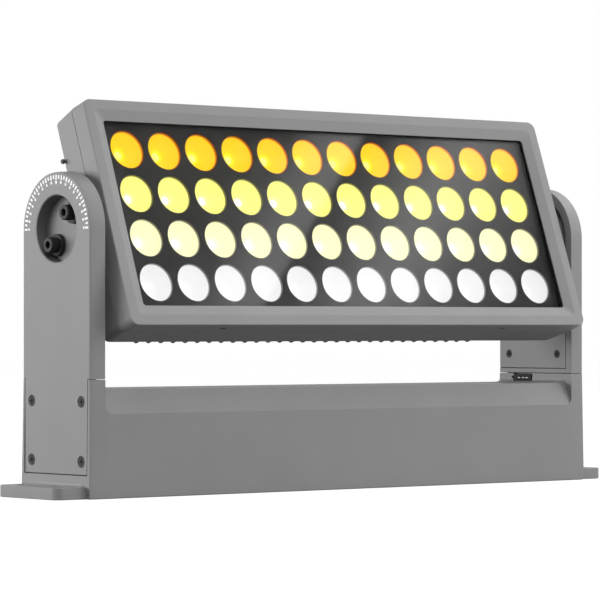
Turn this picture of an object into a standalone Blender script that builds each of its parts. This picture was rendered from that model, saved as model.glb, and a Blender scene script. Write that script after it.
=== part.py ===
# LED wash light: a flat 48-lens head that tilts between two arms on a driver base.
# Metres, +Z up, the front is -Y. The origin is on the floor, under the middle of the tilt axis.
import math

import bmesh
import bpy
from mathutils import Matrix, Vector

# Gap left between two pieces that touch
SEAT_GAP = 0.0003
# Radial play of round fits that turn
TURN_PLAY = 0.0005

# Lens field
LENS_PITCH = 0.040
LENS_COLUMNS = 12
LENS_ROWS = 4
APERTURE_RADIUS = 0.0165
LENS_BODY_RADIUS = 0.0155
LENS_REAR_RADIUS = 0.0055
LENS_LENGTH = 0.0159
LENS_WEB_THICKNESS = 0.002
LENS_WEB_GAP = 0.0006
MASK_THICKNESS = 0.002
MASK_RIM_HEIGHT = 0.0009
MASK_RIM_INSET = 0.0015
BOARD_THICKNESS = 0.0016
BOARD_HEIGHT = 0.037
LED_SIZE = 0.005
LED_HEIGHT = 0.0015

# Window, glass and bezel
WINDOW_MARGIN_X = 0.0073
WINDOW_MARGIN_Z = 0.0067
WINDOW_CORNER = 0.003
GLASS_OVERLAP = 0.0047
GLASS_THICKNESS = 0.003
GLASS_GASKET_THICKNESS = 0.0008
LIP_THICKNESS = 0.0009
SLOPE_WIDTH = 0.0092
SLOPE_DEPTH = 0.003
RIM_WIDTH_X = 0.0096
RIM_WIDTH_Z = 0.0091
BEZEL_CORNER = 0.012
BEZEL_DEPTH = 0.018
BEZEL_EDGE = 0.001
BEZEL_WALL = 0.0066

# Rear housing and its seal
HOUSING_DEPTH = 0.0287
HOUSING_TAPER_X = 0.0038
HOUSING_TAPER_Z = 0.0016
HOUSING_WALL = 0.003
HOUSING_EDGE = 0.002
SEAL_WIDTH = 0.0024
SEAL_HEIGHT = 0.0017
SEAL_INSET = 0.0026
REAR_OPENING_INSET_X = 0.061
REAR_OPENING_INSET_Z = 0.024

# Heatsink
FINS_PER_LENS = 3
LENS_COLUMNS_WITHOUT_FINS = 2
FIN_THICKNESS = 0.0025
FIN_DEPTH = 0.0419
FIN_OVERHANG = 0.0116
FIN_TIP_CHAMFER = 0.002
SINK_LAP_Z = 0.009
SINK_INSET_X = 0.002

# Tilt axis
PIVOT_SETBACK = 0.0335
REST_TILT = math.radians(20.0)
SWING_GAP = 0.0244
HUB_FLANGE_WIDTH = 0.008
HUB_FLANGE_THICKNESS = 0.0026
JOURNAL_RADIUS = 0.024
TRUNNION_LENGTH = 0.057
BUSH_WALL = 0.0015
BUSH_FLANGE = 0.001
ARM_WEB = 0.004
COLLAR_WALL = 0.005
HUB_SHOULDER = 0.0022
CLAMP_DISC_THICKNESS = 0.003
LOCK_SCREW_INSET = 0.0065
LOCK_SCREW_ANGLE = math.radians(30.0)
LOCK_HEAD_RADIUS = 0.0065
LOCK_HEAD_HEIGHT = 0.008
LOCK_SOCKET_RADIUS = 0.0034
LOCK_SOCKET_DEPTH = 0.004
LOCK_SHANK_RADIUS = 0.004
WASHER_RADIUS = 0.0094
WASHER_THICKNESS = 0.0035
SCREW_PLAY = 0.0004
CABLE_BORE_RADIUS = 0.007
RING_THICKNESS = 0.0012
RING_RISE = 0.0032
RING_GROOVE_DEPTH = 0.002
RING_GROOVE_WIDTH = 0.0018
RING_MOUTH = 0.016
JOURNAL_LIP = 0.0018
CAP_THICKNESS = 0.0025
CAP_SKIRT_LENGTH = 0.0015
CAP_SKIRT_WALL = 0.0022

# Arms
SIDE_GAP = 0.0078
ARM_THICKNESS = 0.0154
ARM_RADIUS = 0.0472
ARM_RIM = 0.0065
ARM_SKIN = 0.004
ARM_LEDGE = 0.004
ARM_FOOT_WALL = 0.0047
ARM_FLOOR = 0.007
TONGUE_INSET = 0.0019
TONGUE_THICKNESS = 0.005
TONGUE_BOTTOM = 0.0198
ARM_SCREW_INSET = 0.0119
ARM_SCREW_DROP = 0.0187
ARM_SCREW_RISE = 0.011
COVER_THICKNESS = 0.002
COVER_TOP_DROP = 0.0403
COVER_SCREW_INSET = 0.0115
COVER_SCREW_RISE = 0.0131
COVER_BOSS_RADIUS = 0.0055

# Fasteners with a countersunk head
M5_HEAD_RADIUS = 0.0046
M5_SHANK_RADIUS = 0.0022
M5_LENGTH = 0.013
M4_HEAD_RADIUS = 0.004
M4_SHANK_RADIUS = 0.0017
M4_LENGTH = 0.009
HEAD_CONE_SHARE = 0.55
DRIVE_SHARE = 0.42
DRIVE_DEPTH = 0.0016

# Base
BASE_TOP = 0.0907
END_BLOCK_RISE = 0.0086
BASE_DRAFT = 0.0011
BASE_BAND = 0.0102
BASE_CORNER = 0.004
BASE_WALL = 0.0035
END_WALL = 0.0025
SLOPE_DROP = 0.0202
SLOPE_RUN = 0.0072
STEP_FILLET = 0.004
FOOT_LENGTH = 0.0307
FOOT_SETBACK = 0.0042
FOOT_CORNER = 0.008
FOOT_THICKNESS = 0.0102
FOOT_SLOT_WIDTH = 0.009
FOOT_SLOT_LENGTH = 0.015
FOOT_SLOT_SPACING = 0.050
FOOT_SLOT_OUT = 0.0163
SCREW_BOSS_RADIUS = 0.0055
SCREW_BOSS_DEPTH = 0.010
PLATE_THICKNESS = 0.003
BASE_GASKET_THICKNESS = 0.0008
PLATE_LEDGE_X = 0.004
PLATE_LEDGE_Y = 0.002

# What the base holds
POST_RADIUS = 0.004
POST_HEIGHT = 0.012
POST_INSET = 0.008
CIRCUIT_THICKNESS = 0.0016
SUPPLY_SIZE = (0.215, 0.068, 0.042)
SUPPLY_CLEARANCE = 0.0035
SUPPLY_TAB = 0.012
SUPPLY_TAB_THICKNESS = 0.0025
DRIVER_SIZE = (0.150, 0.070)
DRIVER_INSET = 0.038
CONTROL_SIZE = (0.080, 0.060)
BOARD_SPACING = 0.020

# Fittings
GLAND_HEX = 0.0135
GLAND_HEX_LENGTH = 0.006
GLAND_NUT = 0.0120
GLAND_NUT_LENGTH = 0.014
GLAND_STUB = 0.0095
GLAND_MOUTH = 0.0045
GLAND_MOUTH_DEPTH = 0.003
GLAND_HEIGHT = 0.048
POWER_GLAND_X = -0.180
DATA_GLAND_X = 0.120
DATA_GLAND_SPACING = 0.045
VENT_X = 0.0
VENT_RADIUS = 0.0080
VENT_HEIGHT = 0.0045
VENT_STUB = 0.0055
PORT_LENGTH = 0.026
PORT_DEPTH = 0.005
PORT_PROUD = 0.001
PORT_START = 0.0032
PORT_PIN = 0.0008
PLUG_RADIUS = 0.0021
PLUG_LENGTH = 0.0036
PLUG_STEM_RADIUS = 0.0012
PLUG_STEM_LENGTH = 0.0045
PLUG_Y = -0.0008
PLUG_RISE = 0.063

# Wiring loom in the right arm
LOOM_RADIUS = 0.0020
LOOM_HOLE_RADIUS = 0.0024
LOOM_SIDE_STEP = 0.010
LOOM_STEP = 0.0045
TERMINAL_SIZE = (0.010, 0.020, 0.010)
TERMINAL_INSET = 0.004

# Sizes that follow from the ones above
FIELD_HALF_X = (LENS_COLUMNS - 1) / 2 * LENS_PITCH
FIELD_HALF_Z = (LENS_ROWS - 1) / 2 * LENS_PITCH
WINDOW_X = FIELD_HALF_X + APERTURE_RADIUS + WINDOW_MARGIN_X
WINDOW_Z = FIELD_HALF_Z + APERTURE_RADIUS + WINDOW_MARGIN_Z
GLASS_X = WINDOW_X + GLASS_OVERLAP
GLASS_Z = WINDOW_Z + GLASS_OVERLAP
BEZEL_X = WINDOW_X + SLOPE_WIDTH + RIM_WIDTH_X
BEZEL_Z = WINDOW_Z + SLOPE_WIDTH + RIM_WIDTH_Z

# Depths in the head, measured back from the tilt axis when the face is upright
MASK_FRONT = -PIVOT_SETBACK
MASK_BACK = MASK_FRONT + MASK_THICKNESS
GLASS_BACK = MASK_FRONT - MASK_RIM_HEIGHT - SEAT_GAP
GLASS_FRONT = GLASS_BACK - GLASS_THICKNESS
GASKET_BACK = GLASS_FRONT - SEAT_GAP
GASKET_FRONT = GASKET_BACK - GLASS_GASKET_THICKNESS
LIP_BACK = GASKET_FRONT - SEAT_GAP
LIP_FRONT = LIP_BACK - LIP_THICKNESS
BEZEL_FRONT = LIP_FRONT - SLOPE_DEPTH
BEZEL_BACK = BEZEL_FRONT + BEZEL_DEPTH
HOUSING_FRONT = BEZEL_BACK + SEAT_GAP
HOUSING_BACK = HOUSING_FRONT + HOUSING_DEPTH
LENS_FRONT = MASK_BACK + SEAT_GAP
LENS_BACK = LENS_FRONT + LENS_LENGTH
LED_FRONT = LENS_BACK + SEAT_GAP
BOARD_FRONT = LED_FRONT + LED_HEIGHT
BOARD_BACK = BOARD_FRONT + BOARD_THICKNESS
SINK_FRONT = BOARD_BACK + SEAT_GAP
SINK_BACK = HOUSING_BACK - HOUSING_WALL - SEAT_GAP
FIN_BACK = HOUSING_BACK + FIN_DEPTH

# Half sizes of the rear housing and of the opening in its back
HOUSING_X = BEZEL_X - HOUSING_TAPER_X
HOUSING_Z = BEZEL_Z - HOUSING_TAPER_Z
OPENING_X = HOUSING_X - REAR_OPENING_INSET_X
OPENING_Z = HOUSING_Z - REAR_OPENING_INSET_Z

# Fins between the trunnions
FIN_PITCH = LENS_PITCH / FINS_PER_LENS
FIN_COUNT = (LENS_COLUMNS - LENS_COLUMNS_WITHOUT_FINS) * FINS_PER_LENS

# Radii about the tilt axis
BUSH_INNER_RADIUS = JOURNAL_RADIUS + TURN_PLAY
BUSH_OUTER_RADIUS = BUSH_INNER_RADIUS + BUSH_WALL
WEB_BORE_RADIUS = BUSH_OUTER_RADIUS + SEAT_GAP
HUB_HOLE_RADIUS = WEB_BORE_RADIUS + HUB_SHOULDER
HUB_FLANGE_RADIUS = JOURNAL_RADIUS + HUB_FLANGE_WIDTH
DISC_RADIUS = HUB_HOLE_RADIUS - TURN_PLAY
LOCK_SCREW_PITCH_RADIUS = JOURNAL_RADIUS - LOCK_SCREW_INSET
RING_GROOVE_RADIUS = JOURNAL_RADIUS - RING_GROOVE_DEPTH
RING_OUTER_RADIUS = JOURNAL_RADIUS + RING_RISE

# Distances out from the middle along the tilt axis
ARM_INNER = BEZEL_X + SIDE_GAP
ARM_OUTER = ARM_INNER + ARM_THICKNESS
HUB_START = BEZEL_X + SEAT_GAP
HUB_FACE = HUB_START + HUB_FLANGE_THICKNESS
BUSH_START = HUB_FACE + SEAT_GAP
WEB_START = BUSH_START + BUSH_FLANGE + SEAT_GAP
WEB_END = WEB_START + ARM_WEB
DISC_START = WEB_END + SEAT_GAP
DISC_END = DISC_START + CLAMP_DISC_THICKNESS
WASHER_START = DISC_END + SEAT_GAP
LOCK_HEAD_START = WASHER_START + WASHER_THICKNESS + SEAT_GAP
LOCK_SHANK_LENGTH = LOCK_HEAD_START - HUB_START - SEAT_GAP
JOURNAL_END = WEB_END + RING_GROOVE_WIDTH + JOURNAL_LIP
CAP_START = ARM_OUTER - CAP_THICKNESS - CAP_SKIRT_LENGTH
COVER_END = ARM_INNER + COVER_THICKNESS
POCKET_END = ARM_OUTER - ARM_SKIN
TONGUE_START = ARM_OUTER - TONGUE_THICKNESS

# Heights above the floor
END_BLOCK_TOP = BASE_TOP + END_BLOCK_RISE
SLOPE_BOTTOM = BASE_TOP - SLOPE_DROP
ARM_SCREW_HIGH = END_BLOCK_TOP - ARM_SCREW_DROP
ARM_SCREW_LOW = TONGUE_BOTTOM + ARM_SCREW_RISE
SWING_RADIUS = math.hypot(BEZEL_FRONT, BEZEL_Z)
PIVOT_HEIGHT = BASE_TOP + SWING_GAP + SWING_RADIUS
ARM_BOTTOM = END_BLOCK_TOP + SEAT_GAP
COVER_BOTTOM = ARM_BOTTOM + ARM_FOOT_WALL
COVER_TOP = PIVOT_HEIGHT - COVER_TOP_DROP
POCKET_BOTTOM = ARM_BOTTOM + ARM_FLOOR
GASKET_BOTTOM = PLATE_THICKNESS + SEAT_GAP
LEDGE_HEIGHT = GASKET_BOTTOM + BASE_GASKET_THICKNESS + SEAT_GAP
CAVITY_TOP = BASE_TOP - BASE_WALL
POST_TOP = PLATE_THICKNESS + POST_HEIGHT

# Base in plan
BASE_HALF_Y = ARM_RADIUS
CAVITY_X = TONGUE_START - SEAT_GAP - END_WALL
CAVITY_Y = BASE_HALF_Y - BASE_WALL
PLATE_X = CAVITY_X + PLATE_LEDGE_X - SEAT_GAP
PLATE_Y = CAVITY_Y + PLATE_LEDGE_Y - SEAT_GAP
FOOT_X = ARM_OUTER + FOOT_LENGTH
FOOT_Y = BASE_HALF_Y - FOOT_SETBACK
FOOT_SLOT_X = ARM_OUTER + FOOT_SLOT_OUT
TONGUE_Y = ARM_RADIUS - TONGUE_INSET
ARM_SCREW_Y = ARM_RADIUS - ARM_SCREW_INSET
SUPPLY_X = -CAVITY_X + SCREW_BOSS_DEPTH + SUPPLY_CLEARANCE + SUPPLY_TAB + SUPPLY_SIZE[0] / 2
DRIVER_X = CAVITY_X - DRIVER_INSET - DRIVER_SIZE[0] / 2
CONTROL_X = DRIVER_X - DRIVER_SIZE[0] / 2 - BOARD_SPACING - CONTROL_SIZE[0] / 2
LOOM_X = COVER_END + 2 * SEAT_GAP + LOOM_HOLE_RADIUS
LOOM_COLLAR_X = POCKET_END - 2 * SEAT_GAP - LOOM_HOLE_RADIUS
COVER_SCREW_FRONT = -(ARM_RADIUS - ARM_RIM) + COVER_SCREW_INSET
COVER_SCREW_BACK = ARM_RADIUS - COVER_SCREW_INSET

# Finishes: colour, roughness, metallic, transmission
GREY_COAT = ((0.36, 0.36, 0.36), 0.48, 0.0, 0.0)
BARE_ALUMINIUM = ((0.62, 0.62, 0.63), 0.38, 1.0, 0.0)
BLACK_PLASTIC = ((0.02, 0.02, 0.022), 0.45, 0.0, 0.0)
BLACK_STEEL = ((0.03, 0.03, 0.032), 0.35, 0.7, 0.0)
STEEL = ((0.45, 0.45, 0.46), 0.35, 1.0, 0.0)
RUBBER = ((0.025, 0.025, 0.025), 0.8, 0.0, 0.0)
MATT_BLACK = ((0.045, 0.045, 0.048), 0.7, 0.0, 0.0)
GLASS = ((0.95, 0.97, 0.97), 0.02, 0.0, 1.0)
CIRCUIT_WHITE = ((0.75, 0.76, 0.74), 0.5, 0.0, 0.0)
CIRCUIT_GREEN = ((0.03, 0.16, 0.07), 0.5, 0.0, 0.0)
BUSH_PLASTIC = ((0.62, 0.6, 0.52), 0.5, 0.0, 0.0)
LENS_TINTS = ((1.0, 0.55, 0.02), (1.0, 0.85, 0.25), (1.0, 0.95, 0.6), (0.92, 0.92, 0.95))


def clear_scene():
    for old in list(bpy.data.objects):
        bpy.data.objects.remove(old, do_unlink=True)


def make_material(name, finish):
    colour, roughness, metallic, transmission = finish
    material = bpy.data.materials.new(name + "_finish")
    material.use_nodes = True
    shader = material.node_tree.nodes["Principled BSDF"]
    shader.inputs["Base Color"].default_value = (*colour, 1.0)
    shader.inputs["Roughness"].default_value = roughness
    shader.inputs["Metallic"].default_value = metallic
    shader.inputs["Transmission Weight"].default_value = transmission
    return material


def add_object(name, bm, finish, parent=None, location=(0, 0, 0)):
    """Turn a bmesh into an object with its own material."""
    bmesh.ops.recalc_face_normals(bm, faces=bm.faces)
    mesh = bpy.data.meshes.new(name)
    bm.to_mesh(mesh)
    bm.free()
    mesh.shade_smooth()
    mesh.set_sharp_from_angle(angle=math.radians(35))
    mesh.materials.append(make_material(name, finish))
    thing = bpy.data.objects.new(name, mesh)
    bpy.context.scene.collection.objects.link(thing)
    thing.parent = parent
    thing.location = location
    return thing


def combine(target, tool, operation):
    """Join a helper shape to the target, or cut it out, with a live Boolean."""
    tool.hide_render = True
    tool.display_type = "WIRE"
    modifier = target.modifiers.new(operation.lower(), "BOOLEAN")
    modifier.operation = operation
    modifier.object = tool
    modifier.solver = "EXACT"


def new_empty(name, location, tilt):
    empty = bpy.data.objects.new(name, None)
    empty.location = location
    empty.rotation_euler = (tilt, 0, 0)
    bpy.context.scene.collection.objects.link(empty)
    return empty


# Shape helpers: each adds one closed body to a bmesh


def add_box(bm, low, high):
    low, high = Vector(low), Vector(high)
    centre = (low + high) / 2
    size = high - low
    matrix = Matrix.Translation(centre) @ Matrix.Diagonal((*size, 1.0))
    bmesh.ops.create_cube(bm, size=1.0, matrix=matrix)


def add_rings(bm, rings, closed):
    """Skin equal rings of points: closed into a frame, or capped at both ends."""
    loops = [[bm.verts.new(point) for point in ring] for ring in rings]
    pairs = list(zip(loops, loops[1:]))
    if closed:
        pairs.append((loops[-1], loops[0]))
    for first, second in pairs:
        count = len(first)
        for i in range(count):
            j = (i + 1) % count
            bm.faces.new((first[i], first[j], second[j], second[i]))
    if not closed:
        bm.faces.new(loops[0])
        bm.faces.new(list(reversed(loops[-1])))


def rounded_outline(half_a, half_b, radius, steps=4):
    """Points round a rectangle with round corners."""
    points = []
    for corner in range(4):
        sign_a = (1, -1, -1, 1)[corner]
        sign_b = (1, 1, -1, -1)[corner]
        for step in range(steps + 1):
            angle = math.pi / 2 * (corner + step / steps)
            a = sign_a * (half_a - radius) + radius * math.cos(angle)
            b = sign_b * (half_b - radius) + radius * math.sin(angle)
            points.append((a, b))
    return points


def upright_rings(sections, steps=4):
    """Rounded rectangles in X and Z, each at its depth along Y."""
    rings = []
    for half_x, half_z, radius, depth in sections:
        outline = rounded_outline(half_x, half_z, radius, steps)
        rings.append([(a, depth, b) for a, b in outline])
    return rings


def level_rings(sections, steps=3):
    """Rounded rectangles in X and Y, each at its height."""
    rings = []
    for half_x, half_y, radius, height in sections:
        outline = rounded_outline(half_x, half_y, radius, steps)
        rings.append([(a, b, height) for a, b in outline])
    return rings


def add_prism_x(bm, outline, x_low, x_high):
    """Extrude an outline of (y, z) points along X."""
    add_rings(bm, [[(x, y, z) for y, z in outline] for x in (x_low, x_high)], False)


def add_turned(bm, profile, segments, place, closed=False, phase=0.0):
    """Turn (radius, along) points about an axis; place maps (along, a, b) to a point."""
    rings = []
    for radius, along in profile:
        ring = []
        for i in range(segments):
            angle = 2 * math.pi * (i + phase) / segments
            ring.append(place(along, radius * math.cos(angle), radius * math.sin(angle)))
        rings.append(ring)
    add_rings(bm, rings, closed)


def along_x(side, y=0.0, z=0.0):
    return lambda along, a, b: (side * along, y + a, z + b)


def along_y(x=0.0, z=0.0):
    return lambda along, a, b: (x + a, along, z + b)


def along_z(x=0.0, y=0.0):
    return lambda along, a, b: (x + a, y + b, along)


def turned_object(name, profile, segments, place, finish, closed=False, parent=None):
    bm = bmesh.new()
    add_turned(bm, profile, segments, place, closed)
    return add_object(name, bm, finish, parent)


def ring_profile(inner, outer, low, high):
    return [(inner, low), (outer, low), (outer, high), (inner, high)]


def box_object(name, boxes, finish, parent=None):
    bm = bmesh.new()
    for low, high in boxes:
        add_box(bm, low, high)
    return add_object(name, bm, finish, parent)


def lens_centres():
    """Rows from the top, each a list of (x, z) lens centres."""
    rows = []
    for row in range(LENS_ROWS):
        z = FIELD_HALF_Z - row * LENS_PITCH
        rows.append([(column * LENS_PITCH - FIELD_HALF_X, z) for column in range(LENS_COLUMNS)])
    return rows


# Head: every piece is built upright about the tilt axis and leans back with its parent


def build_bezel(head):
    seat_x = GLASS_X + SEAT_GAP
    seat_z = GLASS_Z + SEAT_GAP
    slope_x = WINDOW_X + SLOPE_WIDTH
    slope_z = WINDOW_Z + SLOPE_WIDTH
    seat_corner = WINDOW_CORNER + GLASS_OVERLAP
    step_depth = MASK_BACK + SEAT_GAP
    room_x = BEZEL_X - BEZEL_WALL
    room_z = BEZEL_Z - BEZEL_WALL
    room_corner = BEZEL_CORNER - BEZEL_WALL / 2
    sections = [
        (BEZEL_X, BEZEL_Z, BEZEL_CORNER, BEZEL_BACK),
        (BEZEL_X, BEZEL_Z, BEZEL_CORNER, BEZEL_FRONT + BEZEL_EDGE),
        (BEZEL_X - BEZEL_EDGE, BEZEL_Z - BEZEL_EDGE, BEZEL_CORNER - BEZEL_EDGE, BEZEL_FRONT),
        (slope_x, slope_z, WINDOW_CORNER + BEZEL_EDGE, BEZEL_FRONT),
        (WINDOW_X, WINDOW_Z, WINDOW_CORNER, LIP_FRONT),
        (WINDOW_X, WINDOW_Z, WINDOW_CORNER, LIP_BACK),
        (seat_x, seat_z, seat_corner, LIP_BACK),
        (seat_x, seat_z, seat_corner, step_depth),
        (room_x, room_z, room_corner, step_depth),
        (room_x, room_z, room_corner, BEZEL_BACK),
    ]
    bm = bmesh.new()
    add_rings(bm, upright_rings(sections), True)
    return add_object("front_bezel", bm, GREY_COAT, head)


def build_glass(head):
    corner = WINDOW_CORNER + GLASS_OVERLAP - SEAT_GAP
    bm = bmesh.new()
    sections = [(GLASS_X, GLASS_Z, corner, depth) for depth in (GLASS_FRONT, GLASS_BACK)]
    add_rings(bm, upright_rings(sections, 2), False)
    add_object("front_glass", bm, GLASS, head)
    bm = bmesh.new()
    inner = WINDOW_CORNER + MASK_RIM_INSET
    sections = [
        (GLASS_X, GLASS_Z, corner, GASKET_BACK),
        (GLASS_X, GLASS_Z, corner, GASKET_FRONT),
        (WINDOW_X + SEAT_GAP, WINDOW_Z + SEAT_GAP, inner, GASKET_FRONT),
        (WINDOW_X + SEAT_GAP, WINDOW_Z + SEAT_GAP, inner, GASKET_BACK),
    ]
    add_rings(bm, upright_rings(sections, 2), True)
    add_object("glass_gasket", bm, RUBBER, head)


def build_mask(head):
    corner = WINDOW_CORNER + GLASS_OVERLAP - SEAT_GAP
    rim_front = MASK_FRONT - MASK_RIM_HEIGHT
    rim_x = WINDOW_X + MASK_RIM_INSET
    rim_z = WINDOW_Z + MASK_RIM_INSET
    rim_corner = WINDOW_CORNER + MASK_RIM_INSET
    bm = bmesh.new()
    sections = [
        (rim_x, rim_z, rim_corner, MASK_FRONT),
        (rim_x, rim_z, rim_corner, rim_front),
        (GLASS_X, GLASS_Z, corner, rim_front),
        (GLASS_X, GLASS_Z, corner, MASK_BACK),
    ]
    add_rings(bm, upright_rings(sections, 2), False)
    mask = add_object("aperture_mask", bm, MATT_BLACK, head)
    bm = bmesh.new()
    reach = MASK_THICKNESS
    profile = [(APERTURE_RADIUS, MASK_FRONT - reach), (APERTURE_RADIUS, MASK_BACK + reach)]
    for row in lens_centres():
        for x, z in row:
            add_turned(bm, profile, 10, along_y(x, z))
    combine(mask, add_object("mask_cutter", bm, MATT_BLACK, head), "DIFFERENCE")


def build_lens_row(head, number, centres, tint):
    """Twelve moulded lenses on one web, seated on the LEDs behind them."""
    x_end = FIELD_HALF_X + LENS_PITCH / 2
    z = centres[0][1]
    half = LENS_PITCH / 2 - LENS_WEB_GAP / 2
    web_back = LENS_FRONT + LENS_WEB_THICKNESS
    name = "lens_row_%d" % number
    finish = (tint, 0.15, 0.0, 0.4)
    strip = box_object(name, [((-x_end, LENS_FRONT, z - half), (x_end, web_back, z + half))], finish, head)
    bm = bmesh.new()
    start = LENS_FRONT + LENS_WEB_THICKNESS / 2
    profile = [(LENS_BODY_RADIUS, start), (LENS_REAR_RADIUS, LENS_BACK)]
    for x, row_z in centres:
        add_turned(bm, profile, 10, along_y(x, row_z))
    combine(strip, add_object(name + "_bodies", bm, finish, head), "UNION")


def build_led_board(head, number, centres):
    x_end = FIELD_HALF_X + LENS_PITCH / 2
    z = centres[0][1]
    low = (-x_end, BOARD_FRONT, z - BOARD_HEIGHT / 2)
    high = (x_end, BOARD_BACK, z + BOARD_HEIGHT / 2)
    name = "led_board_%d" % number
    board = box_object(name, [(low, high)], CIRCUIT_WHITE, head)
    half = LED_SIZE / 2
    sunk = BOARD_FRONT + BOARD_THICKNESS / 2
    leds = [((x - half, LED_FRONT, z - half), (x + half, sunk, z + half)) for x, z in centres]
    combine(board, box_object(name + "_leds", leds, CIRCUIT_WHITE, head), "UNION")


def build_rear_housing(head):
    rebate_x = BEZEL_X - SEAL_INSET + SEAT_GAP
    rebate_z = BEZEL_Z - SEAL_INSET + SEAT_GAP
    rebate_corner = BEZEL_CORNER - SEAL_INSET
    rebate_depth = HOUSING_FRONT + SEAL_HEIGHT + SEAT_GAP
    room_x = BEZEL_X - BEZEL_WALL
    room_z = BEZEL_Z - BEZEL_WALL
    room_corner = BEZEL_CORNER - BEZEL_WALL / 2
    wall_front = HOUSING_BACK - HOUSING_WALL
    sections = [
        (BEZEL_X, BEZEL_Z, BEZEL_CORNER, HOUSING_FRONT),
        (HOUSING_X, HOUSING_Z, BEZEL_CORNER, HOUSING_BACK - HOUSING_EDGE),
        (HOUSING_X - HOUSING_EDGE, HOUSING_Z - HOUSING_EDGE, BEZEL_CORNER - HOUSING_EDGE, HOUSING_BACK),
        (OPENING_X, OPENING_Z, WINDOW_CORNER, HOUSING_BACK),
        (OPENING_X, OPENING_Z, WINDOW_CORNER, wall_front),
        (room_x - HOUSING_TAPER_X, room_z - HOUSING_TAPER_Z, room_corner, wall_front),
        (room_x, room_z, room_corner, rebate_depth),
        (rebate_x, rebate_z, rebate_corner, rebate_depth),
        (rebate_x, rebate_z, rebate_corner, HOUSING_FRONT),
    ]
    bm = bmesh.new()
    add_rings(bm, upright_rings(sections), True)
    housing = add_object("rear_housing", bm, GREY_COAT, head)
    bm = bmesh.new()
    hole = PLUG_STEM_RADIUS + SEAT_GAP
    reach = BEZEL_X + SEAT_GAP
    ends = (room_x - 2 * HOUSING_TAPER_X, reach)
    add_turned(bm, [(hole, end) for end in ends], 8, along_x(-1, PLUG_Y, PLUG_RISE))
    cable = CABLE_BORE_RADIUS - HOUSING_WALL
    add_turned(bm, [(cable, end) for end in ends], 10, along_x(1, -CABLE_BORE_RADIUS))
    combine(housing, add_object("housing_cutter", bm, GREY_COAT, head), "DIFFERENCE")


def build_body_seal(head):
    rebate_corner = BEZEL_CORNER - SEAL_INSET
    seal_x = BEZEL_X - SEAL_INSET
    seal_z = BEZEL_Z - SEAL_INSET
    seal = [
        (seal_x, seal_z, rebate_corner, HOUSING_FRONT),
        (seal_x, seal_z, rebate_corner, HOUSING_FRONT + SEAL_HEIGHT),
        (seal_x - SEAL_WIDTH, seal_z - SEAL_WIDTH, rebate_corner - SEAL_WIDTH, HOUSING_FRONT + SEAL_HEIGHT),
        (seal_x - SEAL_WIDTH, seal_z - SEAL_WIDTH, rebate_corner - SEAL_WIDTH, HOUSING_FRONT),
    ]
    bm = bmesh.new()
    add_rings(bm, upright_rings(seal, 3), True)
    add_object("body_seal", bm, RUBBER, head)


def fin_outline():
    """Outline of a fin in (y, z): narrow in the opening, long behind it, tips cut off."""
    waist = OPENING_Z - 2 * SEAT_GAP
    step = HOUSING_BACK + SEAT_GAP
    long = waist + FIN_OVERHANG
    half = [
        (SINK_BACK - HOUSING_WALL / 2, waist),
        (step, waist),
        (step, long),
        (FIN_BACK - FIN_TIP_CHAMFER, long),
        (FIN_BACK, long - FIN_TIP_CHAMFER),
    ]
    return half + [(y, -z) for y, z in reversed(half)]


def build_heatsink(head):
    half_x = FIELD_HALF_X + LENS_PITCH / 2 - SINK_INSET_X
    half_z = OPENING_Z + SINK_LAP_Z
    plate = [((-half_x, SINK_FRONT, -half_z), (half_x, SINK_BACK, half_z))]
    sink = box_object("heatsink", plate, BARE_ALUMINIUM, head)
    outline = fin_outline()
    bm = bmesh.new()
    for i in range(FIN_COUNT):
        x = (i - (FIN_COUNT - 1) / 2) * FIN_PITCH
        add_prism_x(bm, outline, x - FIN_THICKNESS / 2, x + FIN_THICKNESS / 2)
    combine(sink, add_object("heatsink_fins", bm, BARE_ALUMINIUM, head), "UNION")


def half_drum_outline():
    """Half disc in (y, z) behind the housing's back face."""
    front = HOUSING_BACK + SEAT_GAP
    reach = math.acos(front / HUB_FLANGE_RADIUS)
    steps = 8
    points = []
    for i in range(steps + 1):
        angle = reach * (2 * i / steps - 1)
        points.append((HUB_FLANGE_RADIUS * math.cos(angle), HUB_FLANGE_RADIUS * math.sin(angle)))
    return points


def lock_screw_places():
    """(y, z) of the two lock screws about the tilt axis, with the face upright."""
    y = -LOCK_SCREW_PITCH_RADIUS * math.cos(LOCK_SCREW_ANGLE)
    z = LOCK_SCREW_PITCH_RADIUS * math.sin(LOCK_SCREW_ANGLE)
    return [(y, z), (-y, -z)]


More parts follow.
